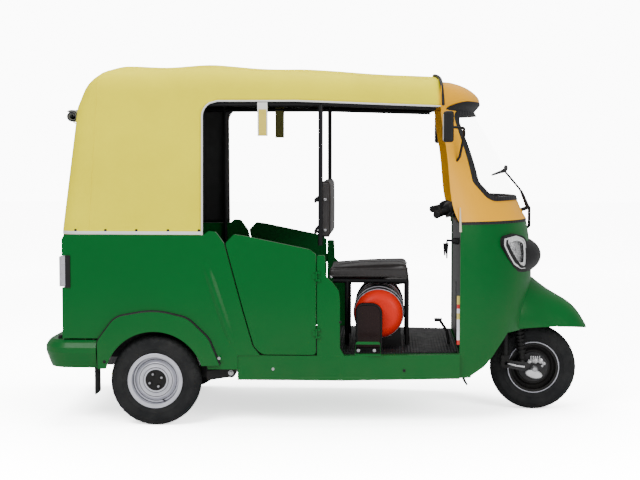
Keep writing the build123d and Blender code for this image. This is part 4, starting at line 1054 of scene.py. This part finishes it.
def make_curtain():
    """Clear curtain rolled up above the rear window, held by two ties."""
    windings, steps, half = 2.4, 84, 0.45
    x, z = -1.3325, 1.64
    rows = []
    for i in range(37):
        y = -half + 2 * half * i / 36
        row = []
        for k in range(steps + 1):
            t = k / steps
            angle = math.tau * windings * t + 0.12 * math.sin(9 * y + 3 * t)
            row.append(around((x, y, z), 0.012 + 0.0245 * t + 0.0012 * math.sin(23 * y + 11 * t) * t, angle))
        rows.append(row)
    roll = Build()
    roll.grid(rows)
    roll = roll.object("curtain_roll_sheet", 70)
    thicken(roll, 0.0012)
    settle(roll, "body", "curtain_vinyl", replaces=["curtain_roll"])
    ties = Build()
    for y in (-0.29, 0.29):
        band = [(-0.012, 0.0385), (-0.012, 0.0402), (0.012, 0.0402), (0.012, 0.0385)]
        ties.lathe((x, y, z), (0, 1, 0), band, 40, loop=True)
        hang = [(x + 0.006, y, z + 0.0395), (x + 0.03, y, 1.695), (x + 0.05, y, 1.71)]
        ties.tube(hang, 0.011, 8, squeeze=0.12)
    ties.piece("curtain_ties", "black_vinyl")


STRAP_PLACE = (-0.2965, 0.558)  # x, distance from the middle plane
STRAP_COLUMNS = [-0.0265, -0.0205, -0.010, 0.0, 0.010, 0.0205, 0.0265]
STRAP_LOW = 1.5335
RAIL_Z = 1.702
YELLOW_WEB, PALE_WEB, SHADED_WEB = 0, 1, 2


def strap_path():
    """Closed line of a strap, out from its middle and z: up outside, over the rail and down inside."""
    fall = [(0.0042 + 0.001 * math.sin(5 * k), 1.537 + 0.115 * k / 8) for k in range(9)] + [(0.0095, 1.672)]
    over = [math.pi * (k / 10) for k in range(11)]
    over = [(0.0148 * math.cos(turn), RAIL_Z + 0.0148 * math.sin(turn)) for turn in over]
    return [(0.0, STRAP_LOW)] + fall + over + [(-out, z) for out, z in fall[::-1]] + [(0.0, STRAP_LOW)]


def make_strap(side, name):
    """Hand strap looped over the roof rail: bright outside with pale edges; its inside face is a darker
    olive, painted shade.
    """
    x, y = STRAP_PLACE
    strap = Build()
    for low, high in zip(STRAP_COLUMNS, STRAP_COLUMNS[1:]):
        for (o0, z0), (o1, z1) in zip(strap_path(), strap_path()[1:]):
            pale = z0 > 1.655 or abs(low + high) > 0.04
            # inside faces get the darker olive, painted shade
            mark = SHADED_WEB if o0 + o1 < 0 else PALE_WEB if pale else YELLOW_WEB
            ends = ((o0, z0), (o1, z1))
            strap.grid([[(x + dx, side * (y + out), z) for dx in (low, high)] for out, z in ends], mark)
    strap = strap.object("hand_strap_" + name, 60)
    thicken(strap, 0.0015)
    node = ["hanging_straps"] if side < 0 else []
    settle(strap, "body", "strap_web", ["strap_web", "hood_binding", "web_painted_shade"], node)


make_curtain()
for side, name in SIDES:
    make_strap(side, name)


# ---------------------------------------------------------------- body trim

COWL_REAR_X = 0.743
VISOR_ROWS = [  # z, how far the arc stands out in front, share of the arc
    (1.7215, 0.128, 0.60), (1.716, 0.1305, 0.70), (1.706, 0.130, 0.79), (1.696, 0.123, 0.85),
    (1.686, 0.114, 0.90), (1.677, 0.106, 0.925), (1.668, 0.100, 0.94), (1.662, 0.101, 0.945),
]
ARCH_LINE = [  # x from the axle, z, corner radius
    (-0.299, 0.308, 0), (-0.303, 0.451, 0.06), (-0.207, 0.580, 0.11), (0, 0.618, 0.4),
    (0.177, 0.576, 0.13), (0.287, 0.470, 0.12), (0.345, 0.332, 0),
]
SIDE_BOLTS = [  # x, distance from the middle plane, z, radius, bright
    (-0.522, 0.6402, 0.368, 0.0055, True),
    (-1.130, 0.6402, 0.345, 0.0055, False),
    (-0.240, 0.6122, 0.309, 0.0050, True),
    (0.450, 0.5715, 0.300, 0.0050, False),
    (0.2087, 0.5985, 0.4095, 0.0055, True),
    (0.2929, 0.5985, 0.4095, 0.0055, True),
    (0.0197, 0.3000, 1.191, 0.0050, True),
    (0.0197, 0.3000, 1.023, 0.0050, True),
    (0.0500, 0.2350, 0.7600, 0.0045, True),
    (0.1150, 0.6125, 0.560, 0.0045, False),
    (-0.466, 0.5855, 0.283, 0.0095, True),
]
REAR_BOLTS = [(-1.3603, y, 0.81, 0.0055) for y in (-0.13, 0.13)]  # x, y, z, radius
REAR_BOLTS += [(-1.4712, y, 0.385, 0.006) for y in (-0.33, -0.11, 0.11, 0.33)]


def make_visor_painted_shade():
    """Black sheet under the visor, painted shade for the shaded underside of its overhang, from its lip back
    to the windscreen seal, in arcs across the vehicle.
    """
    half, rear, count = 0.4985, -0.106, 48
    rows = []
    for z, front, share in VISOR_ROWS:
        depth = front - rear
        radius = (half**2 + depth**2) / (2 * depth)
        centre = COWL_REAR_X + front - radius
        reach = math.asin(min(1.0, half / radius)) * share
        arc = [reach * (2 * k / count - 1) for k in range(count + 1)]
        rows.append([(centre + radius * math.cos(t), radius * math.sin(t), z) for t in arc])
    lining = Build()
    lining.grid(rows)
    # black sheet: painted shade under the visor's lip
    lining.piece("visor_painted_shade", "black_plastic", sharp=50)


def ridge(build, start, end, width, height, y):
    """Low pressed ridge between two points (x, z) of a side panel."""
    profile = ((-1, -0.001), (-0.62, 0.3), (-0.2, 0.92), (0.2, 1.0), (0.6, 0.45), (1, -0.001))
    start, end = Vector(start), Vector(end)
    along = (end - start).normalized()
    across = Vector((along.y, -along.x))
    rows = []
    for k in range(21):
        t = k / 20
        fade = math.sin(math.pi * min(t, 1 - t, 0.25) * 2)
        row = []
        for share, lift in profile:
            p = start.lerp(end, t) + across * (width / 2 * share * (0.6 + 0.4 * fade))
            row.append((p.x, y + math.copysign(height * lift * fade, y), p.y))
        rows.append(row)
    build.grid(rows)


def make_body_trim():
    """Crease behind each door, seal round each wheel arch, and a pale strip on each front post: a painted
    highlight along the post's rear edge.
    """
    crease, seal, highlights = Build(), Build(), Build()
    for side, _ in SIDES:
        ridge(crease, (-0.598, 0.877), (-0.4526, 0.440), 0.050, 0.0115, side * 0.6172)
        seal.tube(rounded([((REAR_AXLE[0] + x, side * 0.6185, z), r) for x, z, r in ARCH_LINE]), 0.0085, 8)
        # pale strip along the post's rear edge: painted highlight
        edge = [(0.7405, side * 0.5285, 1.158), (0.7415, side * 0.5290, 1.10), (0.7435, side * 0.5290, 1.03)]
        highlights.tube(edge, lambda t: 0.003 + 0.006 * t, 8, squeeze=0.5)
    crease.piece("side_creases", "green_paint", sharp=70)
    seal.piece("arch_seals", "rubber_black", ["black_plastic"])
    highlights.piece("post_edge_highlights", "orange_paint", ["cream_trim"])


def make_fasteners():
    """Bolts on both sides and at the rear, backrest buffers and bumper buffers."""
    bright, dark = Build(), Build()
    for side, _ in SIDES:
        for x, y, z, radius, shiny in SIDE_BOLTS:
            (bright if shiny else dark).bolt((x, side * y, z), (0, side, 0), radius)
        for z in (1.195, 1.031):
            rows = [(-0.004, 0.007), (0.012, 0.008), (0.013, 0.0125), (0.021, 0.0125), (0.024, 0.008)]
            dark.lathe((-0.002, side * 0.5575, z), (-1, 0, 0), rows, 18)
        dark.lathe((-1.384, side * 0.545, 0.455), (0, 0, 1), [(0, 0.014), (0.014, 0.013), (0.019, 0.007)], 18)
    for x, y, z, radius in REAR_BOLTS:
        bright.bolt((x, y, z), (-1, 0, 0), radius)
    bright.piece("bright_bolts", "steel")
    dark.piece("dark_fasteners", "black_plastic")


def box_outline(x, y0, y1, z0, z1, r):
    """Rounded rectangle across the X axis."""
    corners = ((y1 - r, z1 - r, 0), (y0 + r, z1 - r, 90), (y0 + r, z0 + r, 180), (y1 - r, z0 + r, 270))
    out = []
    for cy, cz, start in corners:
        for k in range(6):
            turn = math.radians(start + 90 * k / 5)
            out.append((x, cy + r * math.cos(turn), cz + r * math.sin(turn)))
    return out


def make_rear_trim():
    """Pressed rim of the blank number plate, and ribs over the tail lamps."""
    rim, ribs = Build(), Build()
    rim.tube(box_outline(-1.3610, -0.166, 0.166, 0.764, 0.856, 0.012), 0.0016, 6, loop=True)
    rim.piece("plate_rim", "plate_white", body="tailgate")
    for side, _ in SIDES:
        for k in range(6):
            line = ((-1.3725, 0.545), (-1.3725, 0.606), (-1.362, 0.6243), (-1.343, 0.6243))
            ribs.tube([(x, side * y, 0.757 + 0.0255 * k) for x, y in line], 0.0016, 6)
    ribs.piece("tail_lamp_ribs", "tail_lens")


make_visor_painted_shade()
make_body_trim()
make_fasteners()
make_rear_trim()


# ---------------------------------------------------------------- lamps, mirrors, controls

LAMP_TURN = math.radians(40)
LENS = [  # u, v, corner radius
    (-0.098, 0.076, 0.016), (-0.010, 0.084, 0.06), (0.068, 0.062, 0.05), (0.084, -0.010, 0.06),
    (0.080, -0.084, 0.016), (0.030, -0.066, 0.04), (-0.038, 0.002, 0.06),
]
LAMP_RIM = [  # the same for the bright rim round it
    (-0.119, 0.080, 0.016), (-0.010, 0.093, 0.06), (0.078, 0.070, 0.05), (0.092, -0.010, 0.06),
    (0.086, -0.092, 0.016), (0.040, -0.092, 0.03), (-0.024, -0.066, 0.06), (-0.082, -0.004, 0.05),
    (-0.121, 0.046, 0.02),
]
BOWL_ROWS = ((0.985, -0.0187), (0.8, -0.0212), (0.55, -0.0235), (0.3, -0.025), (0.02, -0.0255))  # share, out
TRIM_ROWS = ((0.66, 0.0118), (0.76, 0.0132), (0.97, 0.0146), (1.0, 0.0136))
FACET = 0.0007  # every second point stands out by this
LAMP_MIDDLE = Vector((0.025, 0.012, 0))


def lamp_rings(rows, table, facet, at):
    """Rings of a lamp's outline, shrunk towards its middle and moved out row by row."""
    outline = rounded([((u, v, 0), r) for u, v, r in table + table[:1]], 5)[:-1]
    rings = []
    for share, out in rows:
        ring = [LAMP_MIDDLE.lerp(p, share) for p in outline]
        rings.append([at(q.x, q.y, out + facet * (k % 2)) for k, q in enumerate(ring)])
    return rings


def make_headlamps():
    """Faceted bowl behind each lens, with a bulb and a dividing bar, and a bright rim in front."""
    bowls, bulbs, trims = Build(), Build(), Build()
    for side, _ in SIDES:
        n = Vector((math.cos(LAMP_TURN), side * math.sin(LAMP_TURN), 0))
        u_way = Vector((math.sin(LAMP_TURN), -side * math.cos(LAMP_TURN), 0))
        origin = Vector((1.047, side * 0.320, 0.908))

        def at(u, v, out):
            return origin + u_way * u + Vector((0, 0, v)) + n * out

        bowls.grid(lamp_rings(BOWL_ROWS, LENS, FACET, at), ring=True)
        rows = [(0, 0.012), (0.003, 0.012), (0.004, 0.006), (0.0058, 0.004)]
        bulbs.lathe(at(0.03, 0.015, -0.0245), n, rows, 20)
        bar = [at(-0.02 + 0.012 * t, 0.070 - 0.125 * t, -0.0188) for t in (0.0, 0.25, 0.5, 0.75, 0.95)]
        bulbs.tube(bar, 0.0028, 8)
        trims.grid(lamp_rings(TRIM_ROWS, LAMP_RIM, 0.0, at), ring=True)
    trims.piece("headlamp_trims", "steel", ["lamp_chrome"], sharp=25)
    bowls.piece("headlamp_reflectors", "steel", ["lamp_chrome"], sharp=15)
    bulbs.piece("headlamp_bulbs", "steel", ["cast_alloy"])


def plate(build, points, along, thick, bevel):
    """Flat plate with a bevelled rim from a closed outline, thick along a direction."""
    along = Vector(along).normalized()
    points = [Vector(p) for p in points]
    middle = sum(points, Vector()) / len(points)
    rows = []
    for out, inset in ((0, 0), (thick - bevel, 0), (thick, bevel)):
        rows.append([p + along * out + (middle - p).normalized() * inset for p in points])
    build.grid(rows, ring=True)
    build.cap(rows[-1])
    build.cap(rows[0][::-1])


def make_mirror_glass():
    glasses = Build()
    for side, _ in SIDES:
        y0, y1 = sorted((side * 0.691, side * 0.589))
        plate(glasses, box_outline(0.6456, y0, y1, 1.509, 1.651, 0.014), (-1, 0, 0), 0.0012, 0.0006)
    glasses.piece("mirror_glass", "steel", ["mirror_silver"])


def make_handlebar_parts():
    """Ribbed grips, switch pods with levers, and the cover over the middle of the bar."""
    grip = [(0.0, 0.0172), (0.001, 0.0215), (0.005, 0.0215), (0.006, 0.0185)]
    for k in range(15):
        grip += [(0.009 + 0.006 * k, 0.0185), (0.010 + 0.006 * k, 0.0196), (0.013 + 0.006 * k, 0.0196)]
    grip += [(0.102, 0.0185), (0.104, 0.0205), (0.110, 0.0205), (0.113, 0.016)]
    pod = [(-0.012, 0.014), (-0.008, 0.029), (0.0, 0.034), (0.030, 0.035), (0.043, 0.031), (0.046, 0.019)]
    grips, pods = Build(), Build()
    for side, _ in SIDES:
        knee, end = Vector((0.723, side * 0.190, 1.142)), Vector((0.625, side * 0.350, 1.112))
        way = (end - knee).normalized()
        grips.lathe(end - way * 0.104, way, grip, 24)
        pods.lathe(end - way * 0.152, way, pod, 28)
        reach = ((0.118, 0.030, 0, -0.012), (0.06, 0.050, 0, -0.016), (0.0, 0.052, side * 0.006, -0.012))
        lever = [end - way * back + Vector(shift) for back, *shift in reach]
        pods.tube(lever, lambda t: 0.009 - 0.003 * t, 10, squeeze=0.7)
    cover = ((0.700, -0.150, 1.134), (0.712, -0.08, 1.136), (0.716, 0, 1.136), (0.712, 0.08, 1.136))
    pods.tube(cover + ((0.700, 0.150, 1.134),), lambda t: 0.020 + 0.016 * math.sin(math.pi * t) ** 0.5, 20)
    grips.piece("grips", "rubber_black", ["black_plastic"], "steering", sharp=28)
    pods.piece("handlebar_covers", "black_plastic", body="steering", sharp=30)


def make_ignition():
    """Lock in the dashboard, with a key and its ring."""
    y, ring_x = -0.25, 0.684
    lock, keys = Build(), Build()
    rows = [(0, 0.019), (0.02, 0.018), (0.034, 0.0145), (0.036, 0.011)]
    lock.lathe((0.7478, y, 0.962), (-1, 0, 0.1), rows, 24)
    lock.piece("ignition_lock", "black_plastic")
    keys.lathe((0.712, y, 0.965), (-1, 0, 0.1), [(0, 0.0065), (0.030, 0.0065)], 10)
    ring = [(ring_x, y + 0.009 * math.sin(t), 0.956 + 0.009 * math.cos(t)) for t in turns(20)]
    keys.tube(ring, 0.0045, 6, loop=True)
    for shift, low in ((0.0, 0.868), (0.012, 0.884)):
        blade = [(ring_x - shift, y, z) for z in (0.952, 0.925, 0.905, low)]
        keys.tube(blade, lambda t: 0.0125 - 0.007 * t, 10, squeeze=0.5)
    keys.piece("ignition_keys", "black_plastic")


def make_small_parts():
    """Ribs of the pedal's rubber, the wiper's blade with foot and washer pipe, the stay under the floor."""
    pedal, wiper, stay = Build(), Build(), Build()
    for k in range(5):
        x = 0.6255 + 0.0085 * k
        pedal.tube([(x, -0.213, 0.5268), (x, -0.18, 0.5273), (x, -0.147, 0.5268)], 0.003, 8)
    pedal.piece("pedal_rubber", "rubber_black")
    blade = [((1.0165, -0.060, 1.366), 0), ((1.0075, -0.170, 1.350), 0.3), ((0.9245, -0.334, 1.328), 0)]
    wiper.tube(rounded(blade, 12), lambda t: 0.0115 - 0.0055 * t**16, 8)
    foot = [(1.150, 0.020, 1.134), (1.128, 0.013, 1.187), (1.108, 0.006, 1.232)]
    wiper.tube(foot, lambda t: 0.012 - 0.004 * t, 10)
    pipe = [((1.140, 0.02, 1.146), 0), ((1.157, 0.02, 1.140), 0.012)]
    pipe += [((1.157, 0.02, 1.03), 0.015), ((1.135, 0.02, 1.02), 0)]
    wiper.tube(rounded(pipe, 5), 0.0085, 8)
    wiper.piece("wiper_parts", "black_plastic")
    line = [(0.765, -0.45, 0.262), (0.770, -0.45, 0.235), (0.788, -0.45, 0.206)]
    stay.tube(line, lambda t: 0.009 - 0.004 * t, 10)
    stay.piece("floor_stay", "black_paint")


make_headlamps()
make_mirror_glass()
make_handlebar_parts()
make_ignition()
make_small_parts()


# ---------------------------------------------------------------- gas cylinder, running gear, seat roll

CYLINDER_X, CYLINDER_Z = 0.313, 0.573
CYLINDER_BORE = 0.1315  # inner radius of everything wrapped round the cylinder
CYLINDER_BANDS = [  # pale, from, to, outer radius
    (True, 0.322, 0.335, 0.1345),
    (False, 0.255, 0.320, 0.1375),
    (True, 0.235, 0.250, 0.1395),
    (False, 0.180, 0.230, 0.1405),
]
GUARD_Y = -0.4525


def make_cylinder_trim():
    """Bands round the gas cylinder and its valve."""
    x, z = CYLINDER_X, CYLINDER_Z
    pale, dark = Build(), Build()
    for side, _ in SIDES:
        for bright, y0, y1, outer in CYLINDER_BANDS:
            rows = [(0, CYLINDER_BORE), (0, outer - 0.003), (0.003, outer), (y1 - y0 - 0.003, outer)]
            rows += [(y1 - y0, outer - 0.003), (y1 - y0, CYLINDER_BORE)]
            (pale if bright else dark).lathe((x, side * y0, z), (0, side, 0), rows, 72, loop=True)
    for build, y in ((dark, -0.10), (pale, 0.06)):
        rows = [(0, CYLINDER_BORE), (0, 0.1355), (0.02, 0.1355), (0.02, CYLINDER_BORE)]
        build.lathe((x, y, z), (0, 1, 0), rows, 72, loop=True)
    rows = [(0.0, 0.03), (0.004, 0.03), (0.006, 0.018), (0.02, 0.016)]
    rows += [(0.022, 0.024), (0.03, 0.024), (0.033, 0.014)]
    dark.lathe((x, 0.40, z), (0, 1, 0), rows, 24)
    pale.piece("cylinder_rings", "cast_alloy", ["rim_silver"])
    dark.piece("cylinder_bands", "black_paint")


def make_guard():
    """Plate in a bent tube in front of the cylinder's end."""
    frame_line = [((0.197, GUARD_Y, 0.405), 0), ((0.197, GUARD_Y, 0.635), 0.042)]
    frame_line += [((0.327, GUARD_Y, 0.635), 0.055), ((0.327, GUARD_Y, 0.405), 0)]
    path = rounded(frame_line, 8)
    guard, panel = Build(), Build()
    guard.tube(path, 0.0068, 10)
    guard.piece("guard_frame", "black_paint")
    plate(panel, path, (0, -1, 0), 0.0035, 0.001)
    panel.piece("guard_panel", "black_paint", ["guard_panel"])


def make_brake_castings():
    """Link end, brake rod, cover and fins at the front hub."""
    x, _, z = FRONT_AXLE
    out = (0, -1, 0)
    casting = Build()
    casting.lathe((x - 0.157, -0.104, z + 0.031), out, [(-0.01, 0.019), (0.010, 0.018), (0.014, 0.010)], 20)
    rod = [(x - 0.150, -0.112, z + 0.030), (x - 0.10, -0.118, z + 0.018), (x - 0.055, -0.118, z + 0.012)]
    casting.tube(rod, 0.006, 8)
    oval = []
    for a in turns(36):
        rise = 0.025 * math.sin(a) - 0.008 * math.cos(a)
        oval.append((x - 0.004 + 0.047 * math.cos(a), -0.1165, z - 0.027 + rise))
    plate(casting, oval, out, 0.011, 0.005)
    bosses = ((0.004, 0.046, 0.017), (0.034, 0.044, 0.014), (-0.026, 0.040, 0.011), (0.052, 0.030, 0.010))
    for dx, dz, r in bosses:
        rows = [(-0.016, r), (0.004, r), (0.006, r * 0.7), (0.011, r * 0.6), (0.013, r * 0.35)]
        casting.lathe((x + dx, -0.104, z + dz), out, rows, 14)
    for k in range(5):
        fin = ((-0.112, 0.042), (-0.116, 0.058), (-0.112, 0.072))
        casting.tube([(x - 0.02 + 0.012 * k, y, z + up) for y, up in fin], 0.0035, 8)
    casting.piece("brake_castings", "cast_alloy", ["cast_bright"], "steering")


def make_shaft_boots():
    """Bellows on the drive shafts."""
    rows = []
    for k in range(15):
        r = 0.040 - 0.0007 * k
        rows += [(0.0065 * k, r), (0.0065 * k + 0.0032, r - 0.007)]
    boots = Build()
    for side, _ in SIDES:
        boots.lathe((REAR_AXLE[0], side * 0.24, REAR_AXLE[2]), (0, side, 0), rows, 30)
    boots.piece("shaft_boots", "rubber_black", ["black_plastic"], sharp=50)


def make_seat_roll():
    """Padded roll under the driver's cushion at the front."""
    rows = []
    for y, share in ((-0.226, 0.3), (-0.222, 0.75), (-0.205, 1.0), (0.205, 1.0), (0.222, 0.75), (0.226, 0.3)):
        wide = 0.068 * (0.8 + 0.2 * share)
        row = []
        for turn in turns(28):
            high = 0.026 * math.sin(turn) * (1 + 0.15 * math.cos(turn)) * share
            row.append((0.400 + wide * math.cos(turn), y, 0.744 + high))
        rows.append(row)
    roll = Build()
    roll.skin(rows)
    roll.piece("seat_front_roll", "black_vinyl", sharp=60)


make_cylinder_trim()
make_guard()
make_brake_castings()
make_shaft_boots()
make_seat_roll()


# ---------------------------------------------------------------- floor


def make_floor():
    """White floor: it bounces light as paper does, and the camera sees it brighter, most so far away."""
    mesh = bpy.data.meshes.new("studio_floor")
    reach = 30
    corners = [(-reach, -reach, 0), (reach, -reach, 0), (reach, reach, 0), (-reach, reach, 0)]
    mesh.from_pydata(corners, [], [(0, 1, 2, 3)])
    floor = add("studio_floor", mesh)
    s = Shader("studio_floor")
    s.set(Base_Color=s.mix(s.noise(0.7), (0.86, 0.86, 0.87), (0.9, 0.9, 0.9)), Roughness=0.7)
    s.set(Specular_IOR_Level=0.0)
    away = s.node("VectorMath", {"Vector": s.coords}, operation="LENGTH").outputs["Value"]
    bright = s.node("BsdfDiffuse", {"Color": s.span(away, 1.5, 9.0, 9.0, 18.0)})
    lift = s.node("Emission", {"Strength": 1.3})
    both = s.node("AddShader", {0: bright.outputs[0], 1: lift.outputs[0]})
    seen = s.node("LightPath").outputs["Is Camera Ray"]
    blend = s.node("MixShader", {0: seen, 1: s.bsdf.outputs[0], 2: both.outputs[0]})
    out = s.node("OutputMaterial", {"Surface": blend.outputs[0]})
    out.is_active_output = True
    mesh.materials.append(s.mat)


make_floor()
